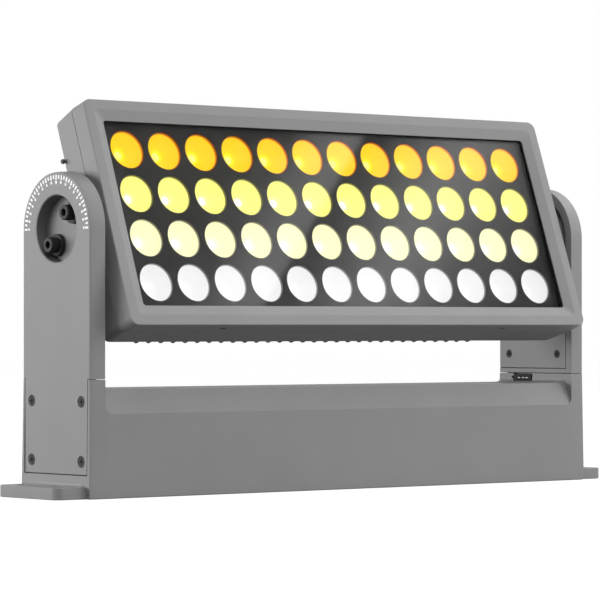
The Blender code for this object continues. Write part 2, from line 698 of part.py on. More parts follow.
def build_trunnion(head, name, side):
    """Half drum behind the housing, flange beside it and journal into the arm."""
    bm = bmesh.new()
    inner = HUB_START - TRUNNION_LENGTH
    drum_end = HUB_START + HUB_FLANGE_THICKNESS / 2
    add_prism_x(bm, half_drum_outline(), side * inner, side * drum_end)
    trunnion = add_object(name, bm, GREY_COAT, head)
    profile = [(HUB_FLANGE_RADIUS, HUB_START), (HUB_FLANGE_RADIUS, HUB_FACE), (JOURNAL_RADIUS, HUB_FACE)]
    if side < 0:
        profile += [(JOURNAL_RADIUS, WEB_END)]
    else:
        groove_end = WEB_END + RING_GROOVE_WIDTH
        profile += [(JOURNAL_RADIUS, WEB_END), (RING_GROOVE_RADIUS, WEB_END)]
        profile += [(RING_GROOVE_RADIUS, groove_end), (JOURNAL_RADIUS, groove_end)]
        profile += [(JOURNAL_RADIUS, JOURNAL_END)]
    hub = turned_object(name + "_hub", profile, 24, along_x(side), GREY_COAT, parent=head)
    combine(trunnion, hub, "UNION")
    bm = bmesh.new()
    if side < 0:
        hole = LOCK_SHANK_RADIUS + SEAT_GAP
        for y, z in lock_screw_places():
            add_turned(bm, [(hole, HUB_START - BUSH_FLANGE), (hole, WEB_END + ARM_WEB)], 12, along_x(side, y, z))
    else:
        bore = [(CABLE_BORE_RADIUS, HUB_START - BUSH_FLANGE), (CABLE_BORE_RADIUS, JOURNAL_END + ARM_WEB)]
        add_turned(bm, bore, 12, along_x(side))
    combine(trunnion, add_object(name + "_cutter", bm, GREY_COAT, head), "DIFFERENCE")


def build_lock(head):
    """Clamp disc on the left journal, with its two socket-head screws and washers."""
    profile = [(DISC_RADIUS, DISC_START), (DISC_RADIUS, DISC_END)]
    disc = turned_object("clamp_disc", profile, 24, along_x(-1), GREY_COAT, parent=head)
    bm = bmesh.new()
    hole = LOCK_SHANK_RADIUS + SCREW_PLAY
    reach = CLAMP_DISC_THICKNESS
    for y, z in lock_screw_places():
        add_turned(bm, [(hole, DISC_START - reach), (hole, DISC_END + reach)], 12, along_x(-1, y, z))
    combine(disc, add_object("clamp_disc_cutter", bm, GREY_COAT, head), "DIFFERENCE")
    for label, (y, z) in zip(("front", "rear"), lock_screw_places()):
        washer = ring_profile(hole, WASHER_RADIUS, WASHER_START, WASHER_START + WASHER_THICKNESS)
        turned_object("lock_washer_" + label, washer, 12, along_x(-1, y, z), BLACK_STEEL, True, head)
        bm = bmesh.new()
        head_end = LOCK_HEAD_HEIGHT
        profile = [
            (LOCK_SHANK_RADIUS, -LOCK_SHANK_LENGTH),
            (LOCK_SHANK_RADIUS, 0.0),
            (LOCK_HEAD_RADIUS, 0.0),
            (LOCK_HEAD_RADIUS, head_end - 0.0006),
            (LOCK_HEAD_RADIUS - 0.0006, head_end),
        ]
        add_turned(bm, profile, 12, along_x(-1))
        place = (-LOCK_HEAD_START, y, z)
        screw = add_object("lock_screw_" + label, bm, BLACK_STEEL, head, place)
        bm = bmesh.new()
        socket = [(LOCK_SOCKET_RADIUS, head_end - LOCK_SOCKET_DEPTH), (LOCK_SOCKET_RADIUS, 2 * head_end)]
        add_turned(bm, socket, 6, along_x(-1))
        combine(screw, add_object("lock_socket_" + label, bm, BLACK_STEEL, head, place), "DIFFERENCE")


def build_cable_side(head):
    """Retaining ring on the right journal: a ring with a mouth, so it can be sprung on."""
    start = WEB_END + SEAT_GAP
    profile = ring_profile(RING_GROOVE_RADIUS + SEAT_GAP, RING_OUTER_RADIUS, start, start + RING_THICKNESS)
    ring = turned_object("retaining_ring", profile, 24, along_x(1), STEEL, True, head)
    low = (start - RING_THICKNESS, -RING_MOUTH / 2, 0)
    high = (start + 2 * RING_THICKNESS, RING_MOUTH / 2, 2 * RING_OUTER_RADIUS)
    combine(ring, box_object("ring_mouth", [(low, high)], STEEL, head), "DIFFERENCE")


def build_side_plug(head):
    """Small black plug in the left side wall, towards the back."""
    share = (PLUG_Y - PLUG_RADIUS - HOUSING_FRONT) / (HOUSING_DEPTH - HOUSING_EDGE)
    start = BEZEL_X - share * HOUSING_TAPER_X + SEAT_GAP
    profile = [
        (PLUG_STEM_RADIUS, start - PLUG_STEM_LENGTH),
        (PLUG_STEM_RADIUS, start),
        (PLUG_RADIUS, start + SEAT_GAP),
        (PLUG_RADIUS, start + PLUG_LENGTH),
    ]
    turned_object("side_plug", profile, 8, along_x(-1, PLUG_Y, PLUG_RISE), BLACK_PLASTIC, parent=head)


def build_head():
    head = new_empty("tilt_axis", (0, 0, PIVOT_HEIGHT), -REST_TILT)
    build_bezel(head)
    build_glass(head)
    build_mask(head)
    for number, centres in enumerate(lens_centres(), 1):
        build_lens_row(head, number, centres, LENS_TINTS[(number - 1) % len(LENS_TINTS)])
        build_led_board(head, number, centres)
    build_rear_housing(head)
    build_body_seal(head)
    build_heatsink(head)
    build_trunnion(head, "trunnion_left", -1)
    build_trunnion(head, "trunnion_right", 1)
    build_lock(head)
    build_cable_side(head)
    build_side_plug(head)


# Arms


def half_round_outline(radius, bottom, steps=16):
    """Half round about the tilt axis with straight sides down to a height, in (y, z)."""
    points = [(-radius, bottom), (radius, bottom)]
    for i in range(steps + 1):
        angle = math.pi * i / steps
        points.append((radius * math.cos(angle), PIVOT_HEIGHT + radius * math.sin(angle)))
    return points


def pocket_outline():
    """The arm's pocket in (y, z): round at the top, narrower behind the cover plate."""
    wide = ARM_RADIUS - ARM_RIM
    narrow = wide - ARM_LEDGE
    step = COVER_TOP + SEAT_GAP + ARM_LEDGE
    arc = half_round_outline(wide, step)[2:]
    half = [(narrow, POCKET_BOTTOM), (narrow, step), (wide, step)]
    return half + arc + [(-y, z) for y, z in reversed(half)]


def arm_screw_places():
    return [(y, z) for z in (ARM_SCREW_HIGH, ARM_SCREW_LOW) for y in (-ARM_SCREW_Y, ARM_SCREW_Y)]


def cover_screw_places():
    low = COVER_BOTTOM + COVER_SCREW_RISE
    high = COVER_TOP - COVER_SCREW_RISE
    return [(y, z) for z in (high, low) for y in (COVER_SCREW_FRONT, COVER_SCREW_BACK)]


def sunk_hole_profile(head_radius, shank_radius, face, inward, depth):
    """Countersunk hole: its face lies at a distance along X, and it runs inward from there."""
    wide = head_radius + SEAT_GAP
    slim = shank_radius + SEAT_GAP
    cone = (head_radius - shank_radius) / HEAD_CONE_SHARE / 2
    flat = SEAT_GAP * 2
    return [
        (wide, face - inward * 0.002),
        (wide, face + inward * flat),
        (slim, face + inward * (flat + cone)),
        (slim, face + inward * depth),
    ]


def sunk_screw(name, head_radius, shank_radius, length, face, inward, place, parent=None):
    """Countersunk screw whose head lies just under the face, with a six-sided drive."""
    cone = (head_radius - shank_radius) / HEAD_CONE_SHARE / 2
    top = face + inward * SEAT_GAP
    profile = [
        (head_radius, top),
        (shank_radius, top + inward * cone),
        (shank_radius, top + inward * length),
    ]
    screw = turned_object(name, profile, 8, place, BLACK_STEEL, parent=parent)
    drive = DRIVE_SHARE * head_radius
    bm = bmesh.new()
    add_turned(bm, [(drive, face - inward * DRIVE_DEPTH), (drive, top + inward * DRIVE_DEPTH)], 6, place)
    combine(screw, add_object(name + "_drive", bm, BLACK_STEEL, parent), "DIFFERENCE")


def build_arm(name, side):
    """Hollow arm: half-round plate, collar round the hub, and a tongue that drops into the base."""
    bm = bmesh.new()
    add_prism_x(bm, half_round_outline(ARM_RADIUS, ARM_BOTTOM), side * ARM_INNER, side * ARM_OUTER)
    arm = add_object(name, bm, GREY_COAT)
    bm = bmesh.new()
    add_prism_x(bm, pocket_outline(), side * (ARM_INNER - ARM_WEB), side * POCKET_END)
    combine(arm, add_object(name + "_pocket", bm, GREY_COAT), "DIFFERENCE")
    bm = bmesh.new()
    add_box(
        bm,
        (min(side * TONGUE_START, side * ARM_OUTER), -TONGUE_Y, TONGUE_BOTTOM),
        (max(side * TONGUE_START, side * ARM_OUTER), TONGUE_Y, ARM_BOTTOM + ARM_FOOT_WALL / 2),
    )
    collar_end = POCKET_END + ARM_SKIN / 2
    collar = [(HUB_HOLE_RADIUS + COLLAR_WALL, end) for end in (WEB_START, collar_end)]
    add_turned(bm, collar, 24, along_x(side, 0, PIVOT_HEIGHT), phase=0.5)
    for y, z in cover_screw_places():
        boss = [(COVER_BOSS_RADIUS, COVER_END + SEAT_GAP), (COVER_BOSS_RADIUS, collar_end)]
        add_turned(bm, boss, 8, along_x(side, y, z), phase=0.5)
    combine(arm, add_object(name + "_added", bm, GREY_COAT), "UNION")
    bm = bmesh.new()
    hub_hole = [
        (WEB_BORE_RADIUS, WEB_START - ARM_WEB),
        (WEB_BORE_RADIUS, WEB_END),
        (HUB_HOLE_RADIUS, WEB_END),
        (HUB_HOLE_RADIUS, ARM_OUTER + ARM_WEB),
    ]
    add_turned(bm, hub_hole, 24, along_x(side, 0, PIVOT_HEIGHT))
    for y, z in arm_screw_places():
        hole = sunk_hole_profile(M5_HEAD_RADIUS, M5_SHANK_RADIUS, ARM_OUTER, -1, 2 * TONGUE_THICKNESS)
        add_turned(bm, hole, 8, along_x(side, y, z))
    rebate_front = -(ARM_RADIUS - ARM_RIM) - SEAT_GAP
    faces = sorted((side * (ARM_INNER - ARM_WEB), side * (COVER_END + SEAT_GAP)))
    add_box(bm, (faces[0], rebate_front, COVER_BOTTOM - SEAT_GAP), (faces[1], 2 * ARM_RADIUS, COVER_TOP + SEAT_GAP))
    combine(arm, add_object(name + "_cutter", bm, GREY_COAT), "DIFFERENCE")
    bm = bmesh.new()
    for y, z in cover_screw_places():
        pilot = [(M4_SHANK_RADIUS + SEAT_GAP, end) for end in (ARM_INNER, POCKET_END - SEAT_GAP)]
        add_turned(bm, pilot, 8, along_x(side, y, z))
    if side > 0:
        collar_top = PIVOT_HEIGHT - HUB_HOLE_RADIUS + COLLAR_WALL / 2
        collar_low = PIVOT_HEIGHT - HUB_HOLE_RADIUS - 2 * COLLAR_WALL
        add_turned(bm, [(LOOM_HOLE_RADIUS, z) for z in (collar_low, collar_top)], 10, along_z(LOOM_COLLAR_X))
        floor = [(LOOM_HOLE_RADIUS, z) for z in (ARM_BOTTOM - ARM_FLOOR, POCKET_BOTTOM + ARM_FLOOR)]
        add_turned(bm, floor, 10, along_z(LOOM_X, -LOOM_SIDE_STEP))
    combine(arm, add_object(name + "_holes", bm, GREY_COAT), "DIFFERENCE")


def build_arm_cover(name, side):
    front = -(ARM_RADIUS - ARM_RIM)
    faces = sorted((side * ARM_INNER, side * COVER_END))
    plate = [((faces[0], front, COVER_BOTTOM), (faces[1], ARM_RADIUS, COVER_TOP))]
    cover = box_object(name, plate, GREY_COAT)
    bm = bmesh.new()
    for y, z in cover_screw_places():
        hole = sunk_hole_profile(M4_HEAD_RADIUS, M4_SHANK_RADIUS, ARM_INNER, 1, 2 * COVER_THICKNESS)
        add_turned(bm, hole, 8, along_x(side, y, z))
    combine(cover, add_object(name + "_cutter", bm, GREY_COAT), "DIFFERENCE")


def build_bush(name, side):
    """Flanged bush between the trunnion and the arm."""
    profile = [
        (BUSH_INNER_RADIUS, BUSH_START),
        (HUB_FLANGE_RADIUS, BUSH_START),
        (HUB_FLANGE_RADIUS, BUSH_START + BUSH_FLANGE),
        (BUSH_OUTER_RADIUS, BUSH_START + BUSH_FLANGE),
        (BUSH_OUTER_RADIUS, WEB_END),
        (BUSH_INNER_RADIUS, WEB_END),
    ]
    turned_object(name, profile, 24, along_x(side, 0, PIVOT_HEIGHT), BUSH_PLASTIC, True)


def build_hub_cap():
    """Flat cap with a short skirt that closes the right arm's hub hole."""
    inner = DISC_RADIUS - CAP_SKIRT_WALL
    profile = [
        (inner, ARM_OUTER - CAP_THICKNESS),
        (inner, CAP_START),
        (DISC_RADIUS, CAP_START),
        (DISC_RADIUS, ARM_OUTER),
    ]
    turned_object("hub_cap", profile, 24, along_x(1, 0, PIVOT_HEIGHT), BLACK_PLASTIC)


def build_arms():
    for label, side in (("left", -1), ("right", 1)):
        build_arm("arm_" + label, side)
        build_arm_cover("arm_cover_" + label, side)
        build_bush("pivot_bush_" + label, side)
        for number, (y, z) in enumerate(arm_screw_places(), 1):
            sunk_screw("arm_screw_%s_%d" % (label, number), M5_HEAD_RADIUS, M5_SHANK_RADIUS, M5_LENGTH,
                       ARM_OUTER, -1, along_x(side, y, z))
        for number, (y, z) in enumerate(cover_screw_places(), 1):
            sunk_screw("cover_screw_%s_%d" % (label, number), M4_HEAD_RADIUS, M4_SHANK_RADIUS, M4_LENGTH,
                       ARM_INNER, 1, along_x(side, y, z))
    build_hub_cap()


# Base


def slope_rings():
    """Cut along the base's front top edge: its floor is the slope, its lower corners are round."""
    foot = Vector((0, -BASE_HALF_Y - BASE_DRAFT / 3, SLOPE_BOTTOM))
    crest = Vector((0, -BASE_HALF_Y + SLOPE_RUN, BASE_TOP))
    up = (crest - foot).normalized()
    out = Vector((0, -up.z, up.y))
    low = -SEAT_GAP / 2
    corner = low + STEP_FILLET
    high = (crest - foot).length + STEP_FILLET
    outline = [(ARM_INNER, high), (-ARM_INNER, high)]
    for sign, turn in ((-1, 1.0), (1, 1.5)):
        for i in range(4):
            angle = math.pi * (turn + i / 6)
            x = sign * (ARM_INNER - STEP_FILLET) + STEP_FILLET * math.cos(angle)
            outline.append((x, corner + STEP_FILLET * math.sin(angle)))
    across = Vector((1, 0, 0))
    return [[foot + x * across + s * up + d * out for x, s in outline] for d in (0, SLOPE_RUN * 3)]


def step_outline():
    """Cut over the base between its end blocks, in (x, z), with round inner corners."""
    top = END_BLOCK_TOP + STEP_FILLET
    points = [(ARM_INNER, top), (-ARM_INNER, top)]
    for sign, turn in ((-1, 1.0), (1, 1.5)):
        for i in range(4):
            angle = math.pi * (turn + i / 6)
            x = sign * (ARM_INNER - STEP_FILLET) + STEP_FILLET * math.cos(angle)
            z = BASE_TOP + STEP_FILLET + STEP_FILLET * math.sin(angle)
            points.append((x, z))
    return points


def cavity_outline():
    """Inside of the base in (y, z), with the slope followed at one wall's distance."""
    return [
        (-CAVITY_Y, -BASE_BAND),
        (CAVITY_Y, -BASE_BAND),
        (CAVITY_Y, CAVITY_TOP),
        (-CAVITY_Y + SLOPE_RUN, CAVITY_TOP),
        (-CAVITY_Y, SLOPE_BOTTOM),
    ]


def add_slot(bm, x, y):
    """Anchor slot through a foot, long in Y."""
    outline = rounded_outline(FOOT_SLOT_WIDTH / 2, FOOT_SLOT_LENGTH / 2, 0.9 * FOOT_SLOT_WIDTH / 2, 2)
    rings = [[(x + a, y + b, z) for a, b in outline] for z in (-FOOT_THICKNESS, 2 * FOOT_THICKNESS)]
    add_rings(bm, rings, False)


def build_base_housing():
    band_x = ARM_OUTER + BASE_DRAFT
    band_y = BASE_HALF_Y + BASE_DRAFT
    bm = bmesh.new()
    sections = [
        (band_x, band_y, BASE_CORNER, 0.0),
        (band_x, band_y, BASE_CORNER, BASE_BAND),
        (ARM_OUTER, BASE_HALF_Y, BASE_CORNER, END_BLOCK_TOP),
    ]
    add_rings(bm, level_rings(sections), False)
    base = add_object("base_housing", bm, GREY_COAT)

    bm = bmesh.new()
    add_rings(bm, level_rings([(FOOT_X, FOOT_Y, FOOT_CORNER, z) for z in (0.0, FOOT_THICKNESS)], 4), False)
    combine(base, add_object("base_feet", bm, GREY_COAT), "UNION")

    bm = bmesh.new()
    add_rings(bm, [[(x, y, z) for x, z in step_outline()] for y in (-2 * BASE_HALF_Y, 2 * BASE_HALF_Y)], False)
    combine(base, add_object("base_step_cutter", bm, GREY_COAT), "DIFFERENCE")

    bm = bmesh.new()
    add_rings(bm, slope_rings(), False)
    combine(base, add_object("base_slope_cutter", bm, GREY_COAT), "DIFFERENCE")

    bm = bmesh.new()
    add_prism_x(bm, cavity_outline(), -CAVITY_X, CAVITY_X)
    combine(base, add_object("base_cavity", bm, GREY_COAT), "DIFFERENCE")

    bm = bmesh.new()
    for side in (-1, 1):
        for y, z in arm_screw_places():
            ends = (CAVITY_X - SCREW_BOSS_DEPTH, CAVITY_X + END_WALL / 2)
            add_turned(bm, [(SCREW_BOSS_RADIUS, end) for end in ends], 8, along_x(side, y, z), phase=0.5)
    combine(base, add_object("base_bosses", bm, GREY_COAT), "UNION")

    combine(base, base_recess_cutter(), "DIFFERENCE")
    combine(base, base_hole_cutter(), "DIFFERENCE")


def base_recess_cutter():
    """Rebate of the bottom plate, recesses of the tongues and pocket of the service port."""
    bm = bmesh.new()
    ledge_x = PLATE_X + SEAT_GAP
    ledge_y = PLATE_Y + SEAT_GAP
    add_box(bm, (-ledge_x, -ledge_y, -BASE_BAND), (ledge_x, ledge_y, LEDGE_HEIGHT))
    for side in (-1, 1):
        reach = sorted((side * (TONGUE_START - SEAT_GAP), side * (ARM_OUTER + FOOT_LENGTH)))
        half = TONGUE_Y + SEAT_GAP
        add_box(bm, (reach[0], -half, TONGUE_BOTTOM - SEAT_GAP), (reach[1], half, 2 * END_BLOCK_TOP))
    x_low = ARM_INNER - PORT_DEPTH
    x_high = ARM_INNER + PORT_DEPTH - PORT_PROUD + SEAT_GAP
    y_low = PORT_START - SEAT_GAP
    y_high = PORT_START + PORT_LENGTH + SEAT_GAP
    add_box(bm, (x_low, y_low, BASE_TOP + PORT_PROUD), (x_high, y_high, 2 * END_BLOCK_TOP))
    return add_object("base_recesses", bm, GREY_COAT)


def base_hole_cutter():
    """Anchor slots and the holes for screws, glands, vent and loom."""
    bm = bmesh.new()
    for side in (-1, 1):
        for y in (-FOOT_SLOT_SPACING / 2, FOOT_SLOT_SPACING / 2):
            add_slot(bm, side * FOOT_SLOT_X, y)
        for y, z in arm_screw_places():
            pilot = M5_SHANK_RADIUS + SEAT_GAP
            ends = (CAVITY_X - 2 * SCREW_BOSS_DEPTH, TONGUE_START + TONGUE_THICKNESS)
            add_turned(bm, [(pilot, end) for end in ends], 8, along_x(side, y, z))
    wall = (CAVITY_Y - BASE_WALL, BASE_HALF_Y + 2 * BASE_WALL)
    for x in gland_places():
        add_turned(bm, [(GLAND_STUB + SEAT_GAP, y) for y in wall], 12, along_y(x, GLAND_HEIGHT))
    add_turned(bm, [(VENT_STUB + SEAT_GAP, y) for y in wall], 12, along_y(VENT_X, GLAND_HEIGHT))
    loom = [(LOOM_HOLE_RADIUS, z) for z in (CAVITY_TOP - BASE_WALL, 2 * END_BLOCK_TOP)]
    add_turned(bm, loom, 10, along_z(LOOM_X, -LOOM_SIDE_STEP))
    return add_object("base_holes", bm, GREY_COAT)


def board_posts():
    """(x, y) of the posts under the two boards."""
    places = []
    for x, (length, width) in ((DRIVER_X, DRIVER_SIZE), (CONTROL_X, CONTROL_SIZE)):
        for sign_x in (-1, 1):
            for sign_y in (-1, 1):
                places.append((x + sign_x * (length / 2 - POST_INSET), sign_y * (width / 2 - POST_INSET)))
    return places


def build_bottom_plate():
    plate = [((-PLATE_X, -PLATE_Y, 0.0), (PLATE_X, PLATE_Y, PLATE_THICKNESS))]
    bottom = box_object("base_bottom_plate", plate, BARE_ALUMINIUM)
    bm = bmesh.new()
    for x, y in board_posts():
        add_turned(bm, [(POST_RADIUS, z) for z in (PLATE_THICKNESS / 2, POST_TOP)], 8, along_z(x, y))
    combine(bottom, add_object("bottom_plate_posts", bm, BARE_ALUMINIUM), "UNION")
    bm = bmesh.new()
    top = GASKET_BOTTOM + BASE_GASKET_THICKNESS
    inner_x = CAVITY_X - PLATE_LEDGE_Y
    inner_y = CAVITY_Y - PLATE_LEDGE_Y
    sections = [
        (PLATE_X, PLATE_Y, 0.002, GASKET_BOTTOM),
        (PLATE_X, PLATE_Y, 0.002, top),
        (inner_x, inner_y, 0.001, top),
        (inner_x, inner_y, 0.001, GASKET_BOTTOM),
    ]
    add_rings(bm, level_rings(sections, 1), True)
    add_object("base_gasket", bm, RUBBER)


def build_power_supply():
    """Cased supply with a fixing tab at each end, on the bottom plate."""
    length, width, height = SUPPLY_SIZE
    floor = PLATE_THICKNESS + SEAT_GAP
    low = (SUPPLY_X - length / 2, -width / 2, floor)
    high = (SUPPLY_X + length / 2, width / 2, floor + height)
    supply = box_object("power_supply", [(low, high)], BARE_ALUMINIUM)
    tab_low = (low[0] - SUPPLY_TAB, low[1] + SUPPLY_TAB, floor)
    tab_high = (high[0] + SUPPLY_TAB, high[1] - SUPPLY_TAB, floor + SUPPLY_TAB_THICKNESS)
    combine(supply, box_object("supply_tabs", [(tab_low, tab_high)], BARE_ALUMINIUM), "UNION")


def build_circuit(name, x, size, parts):
    """Board on its posts with its taller components moulded as blocks."""
    length, width = size
    bottom = POST_TOP + SEAT_GAP
    top = bottom + CIRCUIT_THICKNESS
    plate = [((x - length / 2, -width / 2, bottom), (x + length / 2, width / 2, top))]
    board = box_object(name, plate, CIRCUIT_GREEN)
    blocks = []
    for share_x, share_y, block_x, block_y, height in parts:
        centre_x = x + share_x * length
        centre_y = share_y * width
        low = (centre_x - block_x / 2, centre_y - block_y / 2, bottom + CIRCUIT_THICKNESS / 2)
        high = (centre_x + block_x / 2, centre_y + block_y / 2, top + height)
        blocks.append((low, high))
    combine(board, box_object(name + "_components", blocks, CIRCUIT_GREEN), "UNION")


def build_boards():
    inductors = [(-0.36 + 0.18 * i, 0.22, 0.016, 0.016, 0.014) for i in range(4)]
    regulators = [(-0.36 + 0.18 * i, -0.12, 0.010, 0.012, 0.006) for i in range(4)]
    length, width = DRIVER_SIZE
    share = 0.5 - (TERMINAL_INSET + TERMINAL_SIZE[0] / 2) / length
    terminal = [(share, -LOOM_SIDE_STEP / width, *TERMINAL_SIZE)]
    build_circuit("driver_board", DRIVER_X, DRIVER_SIZE, inductors + regulators + terminal)
    chips = [(0.0, 0.1, 0.014, 0.014, 0.002), (-0.3, -0.25, 0.012, 0.010, 0.008), (0.3, -0.25, 0.012, 0.010, 0.008)]
    build_circuit("control_board", CONTROL_X, CONTROL_SIZE, chips)


def gland_places():
    """X of the power gland and the two data glands."""
    return [POWER_GLAND_X, DATA_GLAND_X, DATA_GLAND_X + DATA_GLAND_SPACING]


def build_gland(name, x):
    """Cable gland in the back wall: threaded stub, six-sided body, round nut with a shallow mouth."""
    back = BASE_HALF_Y + BASE_DRAFT + SEAT_GAP
    stub_start = CAVITY_Y - BASE_WALL
    nut_start = back + GLAND_HEX_LENGTH
    end = nut_start + GLAND_NUT_LENGTH
    stub = [(GLAND_STUB, stub_start), (GLAND_STUB, back + GLAND_HEX_LENGTH / 2)]
    gland = turned_object(name, stub, 12, along_y(x, GLAND_HEIGHT), BLACK_PLASTIC)
    bm = bmesh.new()
    add_turned(bm, [(GLAND_HEX, back), (GLAND_HEX, nut_start)], 6, along_y(x, GLAND_HEIGHT))
    combine(gland, add_object(name + "_body", bm, BLACK_PLASTIC), "UNION")
    nut = [
        (0.9 * GLAND_NUT, nut_start - GLAND_HEX_LENGTH / 4),
        (GLAND_NUT, nut_start + GLAND_NUT_LENGTH / 5),
        (GLAND_NUT, nut_start + 0.55 * GLAND_NUT_LENGTH),
        (GLAND_MOUTH + 0.002, end),
        (GLAND_MOUTH, end),
        (GLAND_MOUTH, end - GLAND_MOUTH_DEPTH),
    ]
    dome = turned_object(name + "_nut", nut, 12, along_y(x, GLAND_HEIGHT), BLACK_PLASTIC)
    combine(gland, dome, "UNION")


def build_vent():
    back = BASE_HALF_Y + BASE_DRAFT + SEAT_GAP
    profile = [
        (VENT_STUB, CAVITY_Y - BASE_WALL / 2),
        (VENT_STUB, back),
        (VENT_RADIUS, back),
        (VENT_RADIUS, back + 0.7 * VENT_HEIGHT),
        (0.85 * VENT_RADIUS, back + VENT_HEIGHT),
    ]
    turned_object("base_vent", profile, 12, along_y(VENT_X, GLAND_HEIGHT), BLACK_PLASTIC)


def build_service_port():
    """Small black port in the right end block, with three contacts and a pin at its back end."""
    bottom = BASE_TOP + PORT_PROUD + SEAT_GAP
    top = END_BLOCK_TOP - SEAT_GAP
    x_low = ARM_INNER - PORT_PROUD
    x_high = ARM_INNER + PORT_DEPTH - PORT_PROUD
    y_high = PORT_START + PORT_LENGTH
    port = box_object("service_port", [((x_low, PORT_START, bottom), (x_high, y_high, top))], BLACK_PLASTIC)
    middle = (bottom + top) / 2
    bumps = []
    for i in range(3):
        y = PORT_START + PORT_LENGTH * (0.35 + 0.22 * i)
        bumps.append(((x_low - PORT_PIN / 2, y - PORT_PIN, middle - PORT_PIN), (x_high - PORT_PROUD, y + PORT_PIN, middle + PORT_PIN)))
    combine(port, box_object("port_contacts", bumps, BLACK_PLASTIC), "UNION")


def loom_route():
    """Chosen points of the loom: out of the hollow journal, down the arm, into the base."""
    top = PIVOT_HEIGHT
    low = CAVITY_TOP
    side = -LOOM_SIDE_STEP
    start = JOURNAL_END + SEAT_GAP
    out = CAP_START - LOOM_RADIUS
    collar_top = top - HUB_HOLE_RADIUS
    terminal_x = DRIVER_X + DRIVER_SIZE[0] / 2 - TERMINAL_INSET + SEAT_GAP
    terminal_z = POST_TOP + TERMINAL_SIZE[2] * 0.75
    return [
        (start, 0.0, top),
        (start + 0.0012, 0.0, top),
        (out - 0.0008, 0.0, top - 0.0035),
        (out, 0.0, top - 0.009),
        (out - 0.0004, 0.0, top - 0.018),
        (LOOM_COLLAR_X, 0.0, collar_top),
        (LOOM_COLLAR_X, 0.0, collar_top - COLLAR_WALL),
        ((LOOM_COLLAR_X + LOOM_X) / 2, 0.15 * side, collar_top - 0.015),
        (LOOM_X, 0.6 * side, collar_top - 0.032),
        (LOOM_X, side, collar_top - 0.052),
        (LOOM_X, side, low + 0.020),
        (LOOM_X, side, low),
        (LOOM_X - 0.001, side, low - 0.012),
        (LOOM_X - 0.012, side, low - 0.032),
        (LOOM_X - 0.022, side, terminal_z + 0.010),
        (terminal_x + 0.008, side, terminal_z),
        (terminal_x, side, terminal_z),
    ]


def smooth_points(route, step):
    """Read a Catmull-Rom curve through the route at about equal steps."""
    knots = [Vector(point) for point in route]
    knots = [2 * knots[0] - knots[1]] + knots + [2 * knots[-1] - knots[-2]]
    dense = []
    for i in range(1, len(knots) - 2):
        a, b, c, d = knots[i - 1:i + 3]
        for k in range(12):
            t = k / 12
            linear = (c - a) * t
            square = (2 * a - 5 * b + 4 * c - d) * t * t
            cube = (3 * b - a - 3 * c + d) * t ** 3
            dense.append(b + (linear + square + cube) / 2)
    dense.append(knots[-2])
    points = [dense[0]]
    for point in dense[1:-1]:
        if (point - points[-1]).length >= step:
            points.append(point)
    if (dense[-1] - points[-1]).length < step / 2:
        points.pop()
    points.append(dense[-1])
    return points


def build_loom():
    curve = bpy.data.curves.new("arm_loom", "CURVE")
    curve.dimensions = "3D"
    curve.bevel_depth = LOOM_RADIUS
    curve.bevel_resolution = 2
    curve.use_fill_caps = True
    points = smooth_points(loom_route(), LOOM_STEP)
    spline = curve.splines.new("POLY")
    spline.points.add(len(points) - 1)
    for spot, point in zip(spline.points, points):
        spot.co = (*point, 1.0)
    curve.materials.append(make_material("arm_loom", RUBBER))
    loom = bpy.data.objects.new("arm_loom", curve)
    bpy.context.scene.collection.objects.link(loom)


def build_base():
    build_base_housing()
    build_bottom_plate()
    build_power_supply()
    build_boards()
    for name, x in zip(("power_gland", "data_gland_in", "data_gland_out"), gland_places()):
        build_gland(name, x)
    build_vent()
    build_service_port()
    build_loom()


clear_scene()
build_head()
build_arms()
build_base()
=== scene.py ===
import math

import bmesh
import bpy
import numpy as np
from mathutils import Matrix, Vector


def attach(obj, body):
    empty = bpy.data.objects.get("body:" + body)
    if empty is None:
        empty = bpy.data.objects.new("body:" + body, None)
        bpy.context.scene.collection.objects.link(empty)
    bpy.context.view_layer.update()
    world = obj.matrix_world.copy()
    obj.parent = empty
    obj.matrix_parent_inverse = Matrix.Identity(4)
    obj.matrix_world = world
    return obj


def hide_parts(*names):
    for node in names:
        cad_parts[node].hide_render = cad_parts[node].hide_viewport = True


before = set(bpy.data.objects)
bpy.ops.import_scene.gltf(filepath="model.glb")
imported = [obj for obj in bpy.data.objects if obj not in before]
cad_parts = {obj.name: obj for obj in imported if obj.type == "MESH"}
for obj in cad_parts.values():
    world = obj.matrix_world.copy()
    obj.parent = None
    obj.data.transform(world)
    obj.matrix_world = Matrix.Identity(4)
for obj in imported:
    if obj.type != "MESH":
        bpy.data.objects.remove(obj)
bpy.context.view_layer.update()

scene = bpy.context.scene
mm = 0.001
pivotHeight = 225.333                # tilt axis above the floor, mm
restTilt = math.radians(-20)         # the face leans back by this much
print("frame loaded:", len(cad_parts), "nodes")


# camera and stage

cameraSetup = {"place": (-1.9472, -2.3027, 0.1437), "heading": 39.94, "lens": 202.7, "sensor": 36, "shiftUp": 0.0434,
               "farthest": 60}

camera = bpy.data.objects.new("photoCamera", bpy.data.cameras.new("photoCamera"))
scene.collection.objects.link(camera)
camera.location = cameraSetup["place"]
camera.rotation_euler = (math.pi / 2, 0, -math.radians(cameraSetup["heading"]))
camera.data.lens = cameraSetup["lens"]
camera.data.sensor_width = cameraSetup["sensor"]
camera.data.shift_y = cameraSetup["shiftUp"]
camera.data.clip_end = cameraSetup["farthest"]
scene.camera = camera
scene.view_settings.view_transform = "Standard"


# shapes: all in millimetres, points as arrays whose last axis is (x, y, z)

